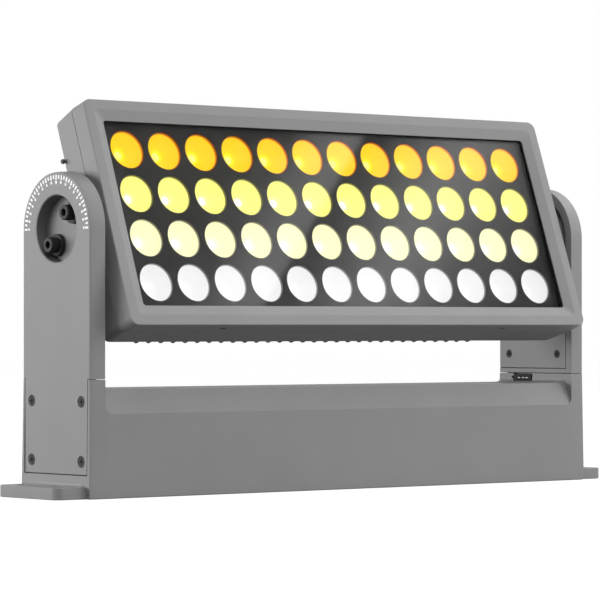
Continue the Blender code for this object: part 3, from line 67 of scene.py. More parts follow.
def onHead(points):
    # upright head (x across, y back, z up from the axis) turned by the rest tilt about X and lifted to the pivot
    c, s = math.cos(restTilt), math.sin(restTilt)
    x, y, z = points[..., 0], points[..., 1], points[..., 2]
    return np.stack([x, c * y - s * z, pivotHeight + s * y + c * z], -1)


def softCorners(corners, reach, steps=3):
    # every corner becomes a parabola that leaves one side and meets the next at the distance reach
    p = np.asarray(corners, float)
    reach = np.broadcast_to(np.asarray(reach, float), len(p))[:, None]
    before, after = np.roll(p, 1, 0) - p, np.roll(p, -1, 0) - p
    start = p + before * reach / np.maximum(np.linalg.norm(before, axis=1, keepdims=True), 1e-9)
    end = p + after * reach / np.maximum(np.linalg.norm(after, axis=1, keepdims=True), 1e-9)
    t = np.linspace(0, 1, steps + 1)[None, :, None]
    curve = (1 - t) ** 2 * start[:, None] + 2 * t * (1 - t) * p[:, None] + t ** 2 * end[:, None]
    return curve.reshape(-1, p.shape[1])


def roundRect(halfA, halfB, radius, steps):
    # each quarter turn sweeps one corner's arc about that corner's own centre; the sides join the arcs
    halfA, halfB, radius = (np.atleast_1d(np.asarray(v, float))[:, None, None] for v in (halfA, halfB, radius))
    turn = (np.arange(4)[:, None] + np.linspace(0, 1, steps + 1)[None]) * math.pi / 2
    signA, signB = np.array([[1], [-1], [-1], [1]]), np.array([[1], [1], [-1], [-1]])
    a = signA * (halfA - radius) + radius * np.cos(turn)
    b = signB * (halfB - radius) + radius * np.sin(turn)
    return np.stack([a, b], -1).reshape(len(a), -1, 2)


def rings(points, wrap=False):
    # a stack of closed rings (rows, around, 3): cell (i, j) joins ring i to ring i+1; open ends get lids
    rows, cols = points.shape[:2]
    i = np.arange(rows if wrap else rows - 1)[:, None]
    j = np.arange(cols)[None]
    i2, j2 = (i + 1) % rows, (j + 1) % cols
    cells = np.stack(np.broadcast_arrays(i * cols + j, i * cols + j2, i2 * cols + j2, i2 * cols + j), -1)
    lids = [] if wrap else [np.arange(cols)[::-1], np.arange(cols) + (rows - 1) * cols]
    return points.reshape(-1, 3), cells.reshape(-1, 4), lids


def repeated(part, offsets):
    # the same shell once for each (x, y, z) offset
    points, cells, lids = part
    offsets = np.asarray(offsets, float)
    starts = np.arange(len(offsets)) * len(points)
    many = (points[None] + offsets[:, None]).reshape(-1, 3)
    return many, (cells[None] + starts[:, None, None]).reshape(-1, 4), [lid + s for s in starts for lid in lids]


def tilted(part):
    # the same shell in its place on the head
    return onHead(part[0]), part[1], part[2]


def alongX(side, y=0.0, z=0.0):
    # lays a flat outline (a, b) across the axis at the distance t; the two below do the same along Y and Z
    return lambda a, b, t: np.stack(np.broadcast_arrays(side * t, y + a, z + b), -1)


def alongY(x=0.0, z=0.0):
    return lambda a, b, t: np.stack(np.broadcast_arrays(x + a, t, z + b), -1)


def alongZ(x=0.0, y=0.0):
    return lambda a, b, t: np.stack(np.broadcast_arrays(x + a, y + b, t), -1)


def prism(outline, place, *levels):
    # the same flat outline at each level along the axis
    return rings(np.stack([place(*np.asarray(outline).T, level) for level in levels]))


def turned(profile, place, count, wrap=False, ripple=None):
    # radius and distance along the axis, carried round the axis; ripple(angle, row) scales the radius
    profile = np.asarray(profile, float)
    angle = np.arange(count) * 2 * math.pi / count
    radius = profile[:, :1] * np.ones(count)
    if ripple is not None:
        radius = radius * ripple(angle[None], np.arange(len(profile))[:, None])
    return rings(place(radius * np.cos(angle), radius * np.sin(angle), profile[:, 1:]), wrap)


def rod(radius, low, high):
    # profile of a plain cylinder
    return [(radius, low), (radius, high)]


def arc(radius, angle, lift=0.0):
    # part of a circle in a flat outline, about the origin or the pivot's height
    return np.stack([radius * np.cos(angle), lift + radius * np.sin(angle)], -1)


def quarterTurn(size, steps):
    # size(1 - sin) falls to nothing while size(1 - cos) grows to the size: a quarter circle
    turn = np.linspace(0, math.pi / 2, steps + 1)
    return size * (1 - np.sin(turn)), size * (1 - np.cos(turn))


def turnedAt(spots, side, profile, count):
    # the same turned shape on an axis along X at each (y, z)
    return [turned(profile, alongX(side, *spot), count) for spot in spots]


def roundedSlab(outline, place, low, high, edge, steps=3):
    # the outline draws in as the slab climbs, by a quarter circle on both rims
    inset, climb = quarterTurn(edge, steps)
    insets, levels = np.r_[inset, inset[::-1]], np.r_[low + climb, high - climb[::-1]]
    stack = np.stack([outline(e) for e in insets])
    return rings(place(stack[..., 0], stack[..., 1], levels[:, None]))


leastRadius = 0.02                   # corners never get quite sharp


def rectOutline(lowA, highA, lowB, highB, radius=0.0, steps=4):
    midA, midB, halfA, halfB = (lowA + highA) / 2, (lowB + highB) / 2, (highA - lowA) / 2, (highB - lowB) / 2
    return lambda e: roundRect(halfA - e, halfB - e, max(radius - e, leastRadius), steps)[0] + (midA, midB)


def centredOutline(a, b, halfA, halfB, radius, steps=4):
    return rectOutline(a - halfA, a + halfA, b - halfB, b + halfB, radius, steps)


def sixSided(radius, corner):
    # hexagon with its corners eased; drawn in evenly by the inset
    turn = np.arange(6) * math.pi / 3
    base = np.stack([np.cos(turn), np.sin(turn)], -1)
    return lambda e: softCorners(base * (radius - e / math.cos(math.pi / 6)), corner)


# pieces

def meshObject(name, parts, levels=None):
    # one object from several shells; levels gives each point its depthShare
    points = np.concatenate([part[0] for part in parts])
    starts = np.cumsum([0] + [len(part[0]) for part in parts[:-1]])
    faces = [cell for part, s in zip(parts, starts) for cell in (part[1] + s).tolist()]
    faces += [(lid + s).tolist() for part, s in zip(parts, starts) for lid in part[2]]
    mesh = bpy.data.meshes.new(name)
    mesh.from_pydata((points * mm).tolist(), [], faces)
    if levels is not None:
        mesh.attributes.new("depthShare", "FLOAT", "POINT").data.foreach_set("value", levels)
    bm = bmesh.new()
    bm.from_mesh(mesh)
    bmesh.ops.remove_doubles(bm, verts=bm.verts, dist=1e-6)
    bmesh.ops.recalc_face_normals(bm, faces=bm.faces)
    bm.to_mesh(mesh)
    bm.free()
    piece = bpy.data.objects.new(name, mesh)
    scene.collection.objects.link(piece)
    return piece


cutterEdge = 0.05                    # cutters keep nearly sharp edges


def carve(piece, parts, operation="DIFFERENCE"):
    # shells of one call must not overlap each other, so those that do go in calls of their own
    tool = meshObject("tool", parts)
    change = piece.modifiers.new("carve", "BOOLEAN")
    change.operation, change.solver, change.object = operation, "EXACT", tool
    made = bpy.data.meshes.new_from_object(piece.evaluated_get(bpy.context.evaluated_depsgraph_get()))
    piece.modifiers.clear()
    piece.data = made
    bpy.data.objects.remove(tool)


def softenEdges(piece, edges):
    # joins faces that lie flat together, then bevels the edges sharper than the corner angle
    bm = bmesh.new()
    bm.from_mesh(piece.data)
    bmesh.ops.remove_doubles(bm, verts=bm.verts, dist=edges["weld"] * mm)
    bmesh.ops.dissolve_limit(bm, angle_limit=math.radians(edges["flat"]), verts=bm.verts, edges=bm.edges)
    bm.to_mesh(piece.data)
    bm.free()
    bevel = piece.modifiers.new("softEdges", "BEVEL")
    bevel.width, bevel.segments, bevel.limit_method = edges["width"] * mm, 2, "ANGLE"
    bevel.angle_limit = math.radians(edges["corner"])


def dress(piece, finish, body, nodes=(), slot=None, crease=35):
    # finish, shading with edges sharp above the crease angle, body and the nodes it stands for; the CAD slot is worked
    # out but not used
    slot = slot or slots[finish]
    piece.data.materials.clear()
    piece.data.materials.append(finishes[finish])
    piece.data.shade_smooth()
    piece.data.set_sharp_from_angle(angle=math.radians(crease))
    even = piece.modifiers.new("evenShading", "WEIGHTED_NORMAL")
    even.keep_sharp = True
    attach(piece, body)
    if nodes:
        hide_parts(*nodes)


# finishes

def finishTree(name):
    material = bpy.data.materials.new(name)
    material.use_nodes = True
    tree = material.node_tree
    shader = tree.nodes["Principled BSDF"]
    place = tree.nodes.new("ShaderNodeTexCoord").outputs["Object"]
    return material, tree, shader, place


def setInputs(node, values):
    # another node's socket is linked, and anything else is the input's own value
    for name, value in values.items():
        if isinstance(value, bpy.types.NodeSocket):
            node.id_data.links.new(value, node.inputs[name])
        else:
            node.inputs[name].default_value = value


def newNode(tree, kind, values={}):
    node = tree.nodes.new("ShaderNode" + kind)
    setInputs(node, values)
    return node


def addNoise(tree, place, size, detail, stretch=(1, 1, 1)):
    # size is that of one blotch in millimetres; stretch above 1 packs it tighter along that axis
    mapping = newNode(tree, "Mapping", {"Vector": place, "Scale": stretch})
    noise = newNode(tree, "TexNoise", {"Vector": mapping.outputs["Vector"], "Scale": 1 / mm / size, "Detail": detail})
    return noise.outputs["Fac"]


def addRamp(tree, value, stops):
    ramp = newNode(tree, "ValToRGB", {"Fac": value})
    elements = ramp.color_ramp.elements
    while len(elements) < len(stops):
        elements.new(0.5)
    for element, (spot, colour) in zip(elements, stops):
        element.position, element.color = spot, (*colour, 1)
    return ramp.outputs["Color"]


noiseSpan = (0.3, 0.7)               # nearly all of a noise lies between these levels


def addBlend(tree, noise, low, high):
    # one colour where the noise is low, the other where it is high
    return addRamp(tree, noise, list(zip(noiseSpan, (low, high))))


def addRange(tree, value, low, high, span=noiseSpan):
    spread = newNode(tree, "MapRange", {"Value": value, "From Min": span[0], "From Max": span[1], "To Min": low,
                                        "To Max": high})
    return spread.outputs["Result"]


def surfaceFinish(name, light, dark, blotch, grain, depth, strength, roughness, specular, metallic=0.0, glow=0.0,
                  stretch=(1, 1, 1)):
    # blotches shift the colour, and a finer noise sets both the gloss and the raised grain; sizes in mm
    # glow, where it is above nothing, is painted light: the surface shines though it is no lamp
    material, tree, shader, place = finishTree(name)
    colour = addBlend(tree, addNoise(tree, place, blotch, 3), dark, light)
    fine = addNoise(tree, place, grain, 2, stretch)
    bump = newNode(tree, "Bump", {"Strength": strength, "Distance": depth * mm, "Height": fine})
    setInputs(shader, {"Base Color": colour, "Roughness": addRange(tree, fine, *roughness),
                       "Normal": bump.outputs["Normal"], "Metallic": metallic, "Specular IOR Level": specular,
                       "Emission Color": (1, 1, 1, 1), "Emission Strength": glow})
    return material


def grey(value, warmth=0.0):
    # warmth takes a share from blue and adds it to red
    return (value * (1 + warmth), value, value * (1 - warmth))


looks = {
    # lighter and darker colour, sizes of blotch and grain, depth and strength of the grain, roughness, specular level,
    # and where they differ from none: metallic, glow and stretch
    "greyCoat": (grey(0.318), grey(0.298), 60, 0.7, 0.03, 0.25, (0.46, 0.56), 0.4),
    "bareAluminium": (grey(0.6), grey(0.5), 30, 1.2, 0.02, 0.2, (0.34, 0.5), 0.5, 1.0, 0.0, (1, 1, 0.08)),
    "finBlack": (grey(0.03), grey(0.022), 25, 0.8, 0.02, 0.2, (0.5, 0.62), 0.3, 0.3),
    # a darker copy of the grey coat: painted shade for the deep bore of the left arm
    "paintedShadeGrey": (grey(0.15), grey(0.13), 20, 0.6, 0.02, 0.2, (0.48, 0.58), 0.3),
    "blackPlastic": (grey(0.012), grey(0.008), 12, 0.5, 0.03, 0.3, (0.46, 0.6), 0.15),
    "darkPlastic": (grey(0.06), grey(0.048), 6, 0.5, 0.02, 0.2, (0.5, 0.62), 0.3),
    "blackSteel": (grey(0.026), grey(0.016), 4, 0.35, 0.01, 0.2, (0.46, 0.6), 0.24),
    "steel": (grey(0.5), grey(0.4), 8, 0.5, 0.01, 0.2, (0.28, 0.42), 0.5, 1.0),
    "rubber": (grey(0.03), grey(0.02), 10, 0.6, 0.03, 0.3, (0.7, 0.85), 0.3),
    "mattBlack": (grey(0.017), grey(0.013), 70, 0.6, 0.02, 0.2, (0.55, 0.68), 0.35),
    "bushPlastic": (grey(0.62, 0.03), grey(0.55, 0.03), 10, 0.6, 0.02, 0.2, (0.4, 0.52), 0.5),
    "circuitWhite": (grey(0.76, 0.01), grey(0.68, 0.01), 14, 0.8, 0.02, 0.2, (0.42, 0.55), 0.5),
    "circuitGreen": ((0.02, 0.16, 0.06), (0.01, 0.1, 0.04), 9, 0.8, 0.02, 0.3, (0.35, 0.5), 0.5),
    # white paint with a painted glow, so the marks shine brighter than the lamps light them
    "whiteWithPaintedGlow": (grey(0.96), grey(0.9), 3, 0.3, 0.01, 0.2, (0.5, 0.62), 0.5, 0.0, 0.35),
}
finishes = {name: surfaceFinish(name, *look) for name, look in looks.items()}
# the CAD slot that each finish belongs to
slots = {
    "greyCoat": "grey_coat", "paintedShadeGrey": "grey_coat", "whiteWithPaintedGlow": "grey_coat", "finBlack": "bare_aluminium",
    "blackPlastic": "black_plastic", "darkPlastic": "black_plastic", "blackSteel": "black_steel", "steel": "steel",
    "rubber": "rubber", "mattBlack": "matt_black", "bushPlastic": "bush_plastic",
}


glassLook = {"hazeSize": 90, "roughness": (0.0, 0.02), "clear": (0.97, 1.0), "ior": 1.25}


def glassFinish(name):
    # clear plate whose polish varies a little; the amount of light let through is set on the shader itself
    material, tree, shader, place = finishTree(name)
    haze = addNoise(tree, place, glassLook["hazeSize"], 3)
    setInputs(shader, {"Base Color": addBlend(tree, haze, *map(grey, glassLook["clear"])), "Transmission Weight": 1.0,
                       "Roughness": addRange(tree, haze, *glassLook["roughness"]), "IOR": glassLook["ior"]})
    return material


lensLook = {"cloudSize": 5, "cloud": (0.965, 1.0), "body": (0.02, 0.05), "glow": 1.06, "roughness": 0.5,
            "specular": 0.2}


def lensFinish(name, stops):
    # a lit bowl: its colour follows depthShare, which the mesh gives as 0 at the rim and 1 at the light source
    material, tree, shader, place = finishTree(name)
    depth = newNode(tree, "Attribute")
    depth.attribute_name = "depthShare"
    share = depth.outputs["Fac"]
    cloud = addBlend(tree, addNoise(tree, place, lensLook["cloudSize"], 3), *map(grey, lensLook["cloud"]))
    mix = newNode(tree, "Mix")
    mix.data_type, mix.blend_type = "RGBA", "MULTIPLY"
    # this node's sockets go by number: 0 is the factor, 6 and 7 the colours, and 2 the colour that comes out
    setInputs(mix, {0: 1.0, 6: addRamp(tree, share, stops), 7: cloud})
    body = addRamp(tree, share, [(spot, grey(level)) for spot, level in enumerate(lensLook["body"])])
    setInputs(shader, {"Base Color": body, "Emission Color": mix.outputs[2], "Emission Strength": lensLook["glow"],
                       "Roughness": lensLook["roughness"], "Specular IOR Level": lensLook["specular"]})
    return material


sides = (("Left", -1), ("Right", 1))


# head

bezelShape = {
    "outer": (262.6, 101.5),         # half width and height
    # inset in x, inset in z, corner radius, depth, easing
    "profile": [
        (0.0, 0.0, 6.8, -25.1, 0.3), (0.0, 0.0, 7.6, -43.0, 1.56), (9.6, 9.1, 4.2, -43.0, 0.5),
        (18.8, 18.3, 3.0, -40.0, 0.25), (18.8, 18.3, 3.0, -39.1, 0.2), (13.8, 13.3, 8.0, -39.1, 0.0),
        (13.8, 13.3, 8.0, -31.2, 0.0), (6.6, 6.6, 8.7, -31.2, 0.0), (6.6, 6.6, 8.7, -25.1, 0.2),
    ],
    "drains": ((-160.3, -34.0), (164.4, -34.0)),
    "drainSize": (3.4, 1.3, 2.6), "drainCorner": 0.6, "drainEdge": 0.1,
}


def rectRings(sections, steps, wrap=False):
    # rounded rectangles from rows of half width, half height, corner radius and depth
    flat = roundRect(*sections[:, :3].T, steps)
    return rings(alongY()(flat[..., 0], flat[..., 1], sections[:, 3:]), wrap)


def framedLoft(outer, profile):
    # a closed section of (inset x, inset z, corner radius, depth) carried round a rounded rectangle
    table = np.array(profile)
    section = softCorners(table[:, :4], table[:, 4])
    section[:, :2] = outer - section[:, :2]
    return rectRings(section, 10, True)


bezel = meshObject("frontBezel", [tilted(framedLoft(bezelShape["outer"], bezelShape["profile"]))])
drainX, drainY, drainZ = bezelShape["drainSize"]
underside = -bezelShape["outer"][1]
carve(bezel, [tilted(roundedSlab(centredOutline(x, y, drainX, drainY, bezelShape["drainCorner"]), alongZ(),
                                 underside - 2, underside + drainZ, bezelShape["drainEdge"]))
              for x, y in bezelShape["drains"]])
dress(bezel, "greyCoat", "head", ["front_bezel"])

housingShape = {
    "outer": (262.6, 101.5),
    "profile": [
        (0.0, 0.0, 6.8, -24.55, 0.3), (3.8, 1.6, 5.2, 4.0, 1.3), (64.8, 25.6, 3.0, 4.0, 0.4),
        (64.8, 25.6, 3.0, 1.0, 0.0), (10.4, 8.2, 8.7, 1.0, 0.0), (6.6, 6.6, 8.7, -22.7, 0.0),
        (2.3, 2.3, 9.4, -22.7, 0.0), (2.3, 2.3, 9.4, -24.55, 0.1),
    ],
    "back": 4.0,
    "screwRows": (93.2, (-234.0, -156.0, -78.0, 0.0, 78.0, 156.0, 234.0)),
    "screwSides": (250.4, (-56.0, 56.0)),
    "screw": [(0.0, 1.2), (1.55, 1.2), (1.6, 2.4), (2.5, 2.5), (3.2, 1.9), (3.4, 0.0), (3.4, -0.6), (0.0, -0.6)],
}
shell = framedLoft(housingShape["outer"], housingShape["profile"])
dress(meshObject("rearHousing", [tilted(shell)]), "greyCoat", "head", ["rear_housing"])

rowZ, rowX = housingShape["screwRows"]
sideX, sideZ = housingShape["screwSides"]
spots = [(x, 0, z) for z in (-rowZ, rowZ) for x in rowX] + [(x, 0, z) for x in (-sideX, sideX) for z in sideZ]
button = turned([(r, housingShape["back"] + h) for r, h in housingShape["screw"]], alongY(), 20)
dress(meshObject("housingScrews", [tilted(repeated(button, spots))]), "blackSteel", "head")

lensShape = {
    "pitch": 40.0, "columns": 12, "rows": 4, "maskFront": -33.5, "count": 40,
    # radius, depth behind the mask's front, share of the way to the light
    "bowl": [
        (0.0, 13.9, 1.0), (2.2, 14.0, 1.0), (3.6, 14.3, 0.98), (4.0, 14.1, 0.84), (5.2, 12.9, 0.76),
        (6.8, 11.3, 0.62), (8.5, 9.8, 0.52), (11.3, 7.3, 0.44), (14.0, 4.9, 0.36), (15.8, 3.1, 0.30),
        (16.4, 2.5, 0.26), (16.55, 2.4, 0.11), (16.8, 0.6, 0.03), (16.95, 0.45, 0.0), (17.1, 0.6, 0.0),
        (17.1, 2.9, 0.0), (5.4, 16.2, 0.0), (0.0, 16.2, 0.0),
    ],
    "flange": (16.75, 19.98, 2.35, 4.2),            # hole, half side, near and far depth
}
columnX = (np.arange(lensShape["columns"]) - (lensShape["columns"] - 1) / 2) * lensShape["pitch"]
rowHeights = ((lensShape["rows"] - 1) / 2 - np.arange(lensShape["rows"])) * lensShape["pitch"]

# half width, half height and corner radius of the plate, and of the opening in its raised rim
maskShape = {"plate": (248.5, 87.9, 7.4), "rim": (245.3, 84.7, 4.5), "rimHeight": 0.9, "thickness": 2.0,
             "aperture": 17.4, "countersink": 0.15}
front, back = lensShape["maskFront"], lensShape["maskFront"] + maskShape["thickness"]
ridge = front - maskShape["rimHeight"]
sections = [(*maskShape["rim"], front), (*maskShape["rim"], ridge), (*maskShape["plate"], ridge),
            (*maskShape["plate"], back)]
mask = meshObject("apertureMask", [tilted(rectRings(np.array(sections), 6))])
hole, bite = maskShape["aperture"], maskShape["countersink"]
past = 1.0                           # how far the punch reaches beyond both faces
punch = turned([(hole + bite + past, front - past), (hole, front + bite), (hole, back + past)], alongY(), 48)
carve(mask, [tilted(repeated(punch, [(x, 0, z) for z in rowHeights for x in columnX]))])
dress(mask, "mattBlack", "head", ["aperture_mask"])
print("head shell ready")

lensColours = {
    "lens_amber": [(0.0, (0.30, 0.05, 0.001)), (0.12, (0.85, 0.20, 0.001)), (0.25, (1.0, 0.64, 0.001)),
                   (0.56, (1.0, 0.69, 0.001)), (0.70, (1.0, 0.76, 0.001)), (0.80, (1.0, 0.90, 0.004)),
                   (0.87, (1.0, 0.94, 0.02)), (0.95, (1.0, 0.90, 0.22))],
    "lens_yellow": [(0.0, (0.05, 0.045, 0.01)), (0.12, (0.28, 0.26, 0.06)), (0.25, (1.0, 0.97, 0.23)),
                    (0.60, (1.0, 1.0, 0.24)), (0.82, (1.0, 1.0, 0.36)), (0.95, (1.1, 1.1, 1.0))],
    "lens_warm": [(0.0, (0.06, 0.055, 0.03)), (0.12, (0.32, 0.30, 0.17)), (0.25, (0.98, 0.97, 0.56)),
                  (0.60, (1.0, 1.0, 0.60)), (0.82, (1.0, 1.0, 0.78)), (0.95, (1.1, 1.1, 1.04))],
    "lens_white": [(0.0, grey(0.06)), (0.12, grey(0.30)), (0.25, grey(0.85)), (0.60, grey(0.88)),
                   (0.82, grey(0.93)), (0.95, grey(1.1))],
}
bowl = np.array(lensShape["bowl"])
cup = turned(np.stack([bowl[:, 0], lensShape["maskFront"] + bowl[:, 1]], -1), alongY(), lensShape["count"])
cupLevels = np.repeat(bowl[:, 2], lensShape["count"])


def squareFlange(holeRadius, half, near, far):
    # in each direction the edge lies at half / max(|cos|, |sin|), which is a square; the inner edge is a circle
    count = lensShape["count"]
    angle = np.arange(count) * 2 * math.pi / count
    reach = half / np.maximum(abs(np.cos(angle)), abs(np.sin(angle)))
    hole = holeRadius * np.ones(count)
    radius, depth = np.stack([hole, reach, reach, hole]), np.array([near, near, far, far])[:, None]
    return rings(alongY()(radius * np.cos(angle), radius * np.sin(angle), depth), True)


holeRadius, flangeHalf, near, far = lensShape["flange"]
flange = squareFlange(holeRadius, flangeHalf, front + near, front + far)
for number, (slotName, height) in enumerate(zip(lensColours, rowHeights), 1):
    offsets = [(x, 0, height) for x in columnX]
    parts = [tilted(repeated(cup, offsets)), tilted(repeated(flange, offsets))]
    levels = np.r_[np.tile(cupLevels, len(offsets)), np.zeros(len(parts[1][0]))]
    row = meshObject("lensRow%d" % number, parts, levels)
    glow = "glow%d" % number
    finishes[glow] = lensFinish(glow, lensColours[slotName])
    dress(row, glow, "head", ["lens_row_%d" % number], slotName)
print("lenses ready")

sinkShape = {
    "plate": (238.0, 84.9, -11.6, 0.7), "plateCorner": 2, "plateEdge": 0.4,
    "finCount": 30, "finPitch": 40 / 3, "finThickness": 1.7, "finEdge": 0.2,
    "outline": [(-0.5, 75.3, 0), (4.3, 75.3, 0.2), (4.3, 86.9, 0.5), (43.9, 86.9, 0.9), (45.9, 84.9, 0.9)],
}


def finOutline(inset):
    # long behind the housing and narrow in its opening; the inset draws every side in
    y, z, ease = np.array(sinkShape["outline"]).T
    y = np.where(y > 40, y - inset, np.where(y > 0, y + inset * (z > 80), y + inset))
    half = np.stack([y, z - inset, ease], -1)
    both = np.r_[half, (half * (1, -1, 1))[::-1]]
    return softCorners(both[:, :2], both[:, 2])


plateX, plateZ, sinkFront, sinkBack = sinkShape["plate"]
halfFin = sinkShape["finThickness"] / 2
plate = roundedSlab(centredOutline(0, 0, plateX, plateZ, sinkShape["plateCorner"]), alongY(), sinkFront, sinkBack,
                    sinkShape["plateEdge"])
fin = roundedSlab(finOutline, alongX(1), -halfFin, halfFin, sinkShape["finEdge"])
finX = (np.arange(sinkShape["finCount"]) - (sinkShape["finCount"] - 1) / 2) * sinkShape["finPitch"]
sink = meshObject("heatsinkFins", [tilted(plate), tilted(repeated(fin, [(x, 0, 0) for x in finX]))])
dress(sink, "finBlack", "head", ["heatsink"])

hubShape = {
    "drum": (205.9, 264.2, 32.0, 4.3, 1.2),          # inner end, outer end, radius, flat side, edge
    # radius and distance along the axis: flange, then the journal with its end, on the right also the ring's groove
    "flange": [(31.7, 262.9), (32.0, 263.2), (32.0, 265.2), (31.7, 265.5), (24.0, 265.5)],
    "journalLeft": [(24.0, 270.7), (23.6, 271.1)],
    "journalRight": [(24.0, 271.1), (22.0, 271.1), (22.0, 272.9), (24.0, 272.9), (24.0, 274.3), (23.6, 274.7)],
    "cableBore": (7.0, 262.0, 276.0), "lockHole": (4.3, 262.0, 273.0), "discHole": (4.4, 269.4, 276.4),
    "lockSpots": ((-15.155, 8.75), (15.155, -8.75)),
    "disc": ((27.6, 271.4), (28.0, 271.8), (28.0, 273.9), (27.5, 274.4)),
    "washer": ((4.4, 274.7), (9.4, 274.7), (9.4, 278.2), (4.4, 278.2)),
    "bush": ((24.5, 265.8), (32.0, 265.8), (32.0, 266.8), (26.0, 266.8), (26.0, 271.1), (24.5, 271.1)),
    "sleeve": ((28.15, 274.7), (28.5, 274.7), (28.5, 285.3), (28.15, 285.3)),
    "ring": ((22.3, 271.4), (27.2, 271.4), (27.2, 272.6), (22.3, 272.6)),
    "ease": {"bush": 0.2, "washer": 0.4, "sleeve": 0.1, "ring": 0.15},
    "ringMouth": (-8.0, 8.0, 5, 40, 2), "ringCut": (270.0, 274.0, 0.1),
}


def drumOutline(inset):
    # arc of the drum from one end of its flat side to the other
    radius, flatSide = hubShape["drum"][2] - inset, hubShape["drum"][3] + inset
    return arc(radius, np.linspace(-1, 1, 41) * math.acos(flatSide / radius))


def hoop(name, place, count, steps=1):
    # closed ring from its section in the hub's settings
    return turned(softCorners(hubShape[name], hubShape["ease"][name], steps), place, count, True)


for title, side in sides:
    start, end, radius, flatSide, edge = hubShape["drum"]
    trunnion = meshObject("trunnion" + title, [tilted(roundedSlab(drumOutline, alongX(side), start, end, edge))])
    stub = turned(hubShape["flange"] + hubShape["journal" + title], alongX(side), 72)
    carve(trunnion, [tilted(stub)], "UNION")
    if side < 0:
        holes = turnedAt(hubShape["lockSpots"], side, rod(*hubShape["lockHole"]), 24)
    else:
        holes = [turned(rod(*hubShape["cableBore"]), alongX(side), 32)]
    carve(trunnion, [tilted(hole) for hole in holes])
    dress(trunnion, "greyCoat", "head", ["trunnion_" + title.lower()])
    bush = meshObject("pivotBush" + title, [hoop("bush", alongX(side, 0, pivotHeight), 72)])
    dress(bush, "bushPlastic", "base", ["pivot_bush_" + title.lower()])

# thin sleeve on the left arm's bore wall in the darker grey: painted shade where the bore is deep
dress(meshObject("paintedShadeSleeve", [hoop("sleeve", alongX(-1, 0, pivotHeight), 96)]), "paintedShadeGrey", "base")

disc = meshObject("clampDisc", [tilted(turned(hubShape["disc"], alongX(-1), 72))])
holes = turnedAt(hubShape["lockSpots"], -1, rod(*hubShape["discHole"]), 24)
carve(disc, [tilted(hole) for hole in holes])
dress(disc, "greyCoat", "head", ["clamp_disc"])

ring = meshObject("retainingRing", [tilted(hoop("ring", alongX(1), 72))])
carve(ring, [tilted(roundedSlab(rectOutline(*hubShape["ringMouth"]), alongX(1), *hubShape["ringCut"]))])
dress(ring, "steel", "head", ["retaining_ring"])

lockShape = {
    # radius and height above the washer: shank, knurled side of the head, top
    "profile": [(3.5, -15.3), (4.0, -14.8), (4.0, 0), (6.2, 0), (6.5, 0.3), (6.5, 0.8), (6.5, 6.7), (6.5, 7.1),
                (6.4, 7.2), (5.75, 8.0)],
    # six-sided socket: a short cone at its bottom, straight walls, and a flare at its mouth
    "socket": [(0.4, 3.0), (3.46, 3.8), (3.46, 7.7), (4.46, 8.7)], "socketCorner": 0.05,
    "start": 278.5, "knurls": 36, "knurlDepth": 0.035, "segments": 144,
}


def knurled(angle, row):
    # fine vertical ridges on the head's side only: rows 4 to 7 of the screw's profile
    return 1 - lockShape["knurlDepth"] * (0.5 + 0.5 * np.cos(lockShape["knurls"] * angle)) * ((row >= 4) & (row <= 7))


for label, spot in zip(("front", "rear"), hubShape["lockSpots"]):
    place, seat = alongX(-1, *spot), lockShape["start"]
    washer = meshObject("lockWasher" + label.title(), [tilted(hoop("washer", place, 48, 2))])
    dress(washer, "blackSteel", "head", ["lock_washer_" + label])
    shell = turned([(radius, seat + t) for radius, t in lockShape["profile"]], place, lockShape["segments"], False,
                   knurled)
    bolt = meshObject("lockScrew" + label.title(), [tilted(shell)])
    socket = [place(*sixSided(radius, lockShape["socketCorner"])(0).T, seat + t) for radius, t in lockShape["socket"]]
    carve(bolt, [tilted(rings(np.stack(socket)))])
    dress(bolt, "blackSteel", "lock_" + label, ["lock_screw_" + label])

plugShape = {
    "place": (2.7, 62.6), "start": 259.7,
    "profile": [(1.1, -4.3), (1.2, -4.2), (1.2, 0.1), (1.7, 0.3), (2.1, 0.8), (2.1, 2.3), (1.8, 2.8), (1.0, 3.0)],
}
plug = turned([(r, plugShape["start"] + t) for r, t in plugShape["profile"]], alongX(-1, *plugShape["place"]), 32)
dress(meshObject("sidePlug", [tilted(plug)]), "darkPlastic", "head", ["side_plug"])
print("hubs and lock ready")


# arms

armShape = {
    "radius": 47.2, "bottom": 99.6, "inner": 270.4, "outer": 285.8, "tongueStart": 280.8, "tongueSides": (44.2, 44.8),
    "tongueBottom": 19.8, "innerEdge": 0.5, "outerEdge": 0.9, "arcSteps": 72,
    "draft": ((268.0, 1.4), (281.8, 0.7), (285.8, 0.2)),
    "pocket": {"wide": 40.7, "narrow": 36.7, "floor": 106.6, "step": 189.33, "end": 281.8},
    "collar": (33.5, 267.1, 283.8), "boss": (5.5, 272.7, 283.8), "pilot": (2.0, 270, 281.5), "cutStart": 260.0,
    "bore": ((26.3, 262), (26.3, 271.1), (28.5, 271.1), (28.5, 285.3), (30.0, 286.8)),
    "cover": {"front": -40.7, "bottom": 104.3, "top": 185.03, "back": 48.3, "thickness": 2.0, "gap": 0.65,
              "corner": 0.6, "edge": 0.35, "room": 0.3, "recessBack": 90, "seal": (0.45, 2.25), "sealBack": 0.3},
    "coverScrews": [(y, z) for z in (171.93, 117.4) for y in (-29.2, 35.7)],
    "armScrews": [(y, z) for z in (80.6, 30.8) for y in (-35.3, 35.3)],
    "loom": ((279.1, 0.0, 178.0, 202.0), (273.4, -10.0, 92.0, 114.0), 2.4),
}
screwShape = {
    "M5": {"head": 4.6, "shank": 2.2, "length": 13.0, "cone": 2.18, "slot": (2.7, 0.55)},
    "M4": {"head": 3.5, "shank": 1.7, "length": 9.0, "cone": 2.09, "slot": (2.3, 0.5)},
}
# room round the screw, width and depth of the fine chamfer, depth of the straight rim, reach outside the face
countersink = {"room": 0.3, "flare": 0.7, "chamfer": 0.2, "rim": 0.7, "past": 0.5}
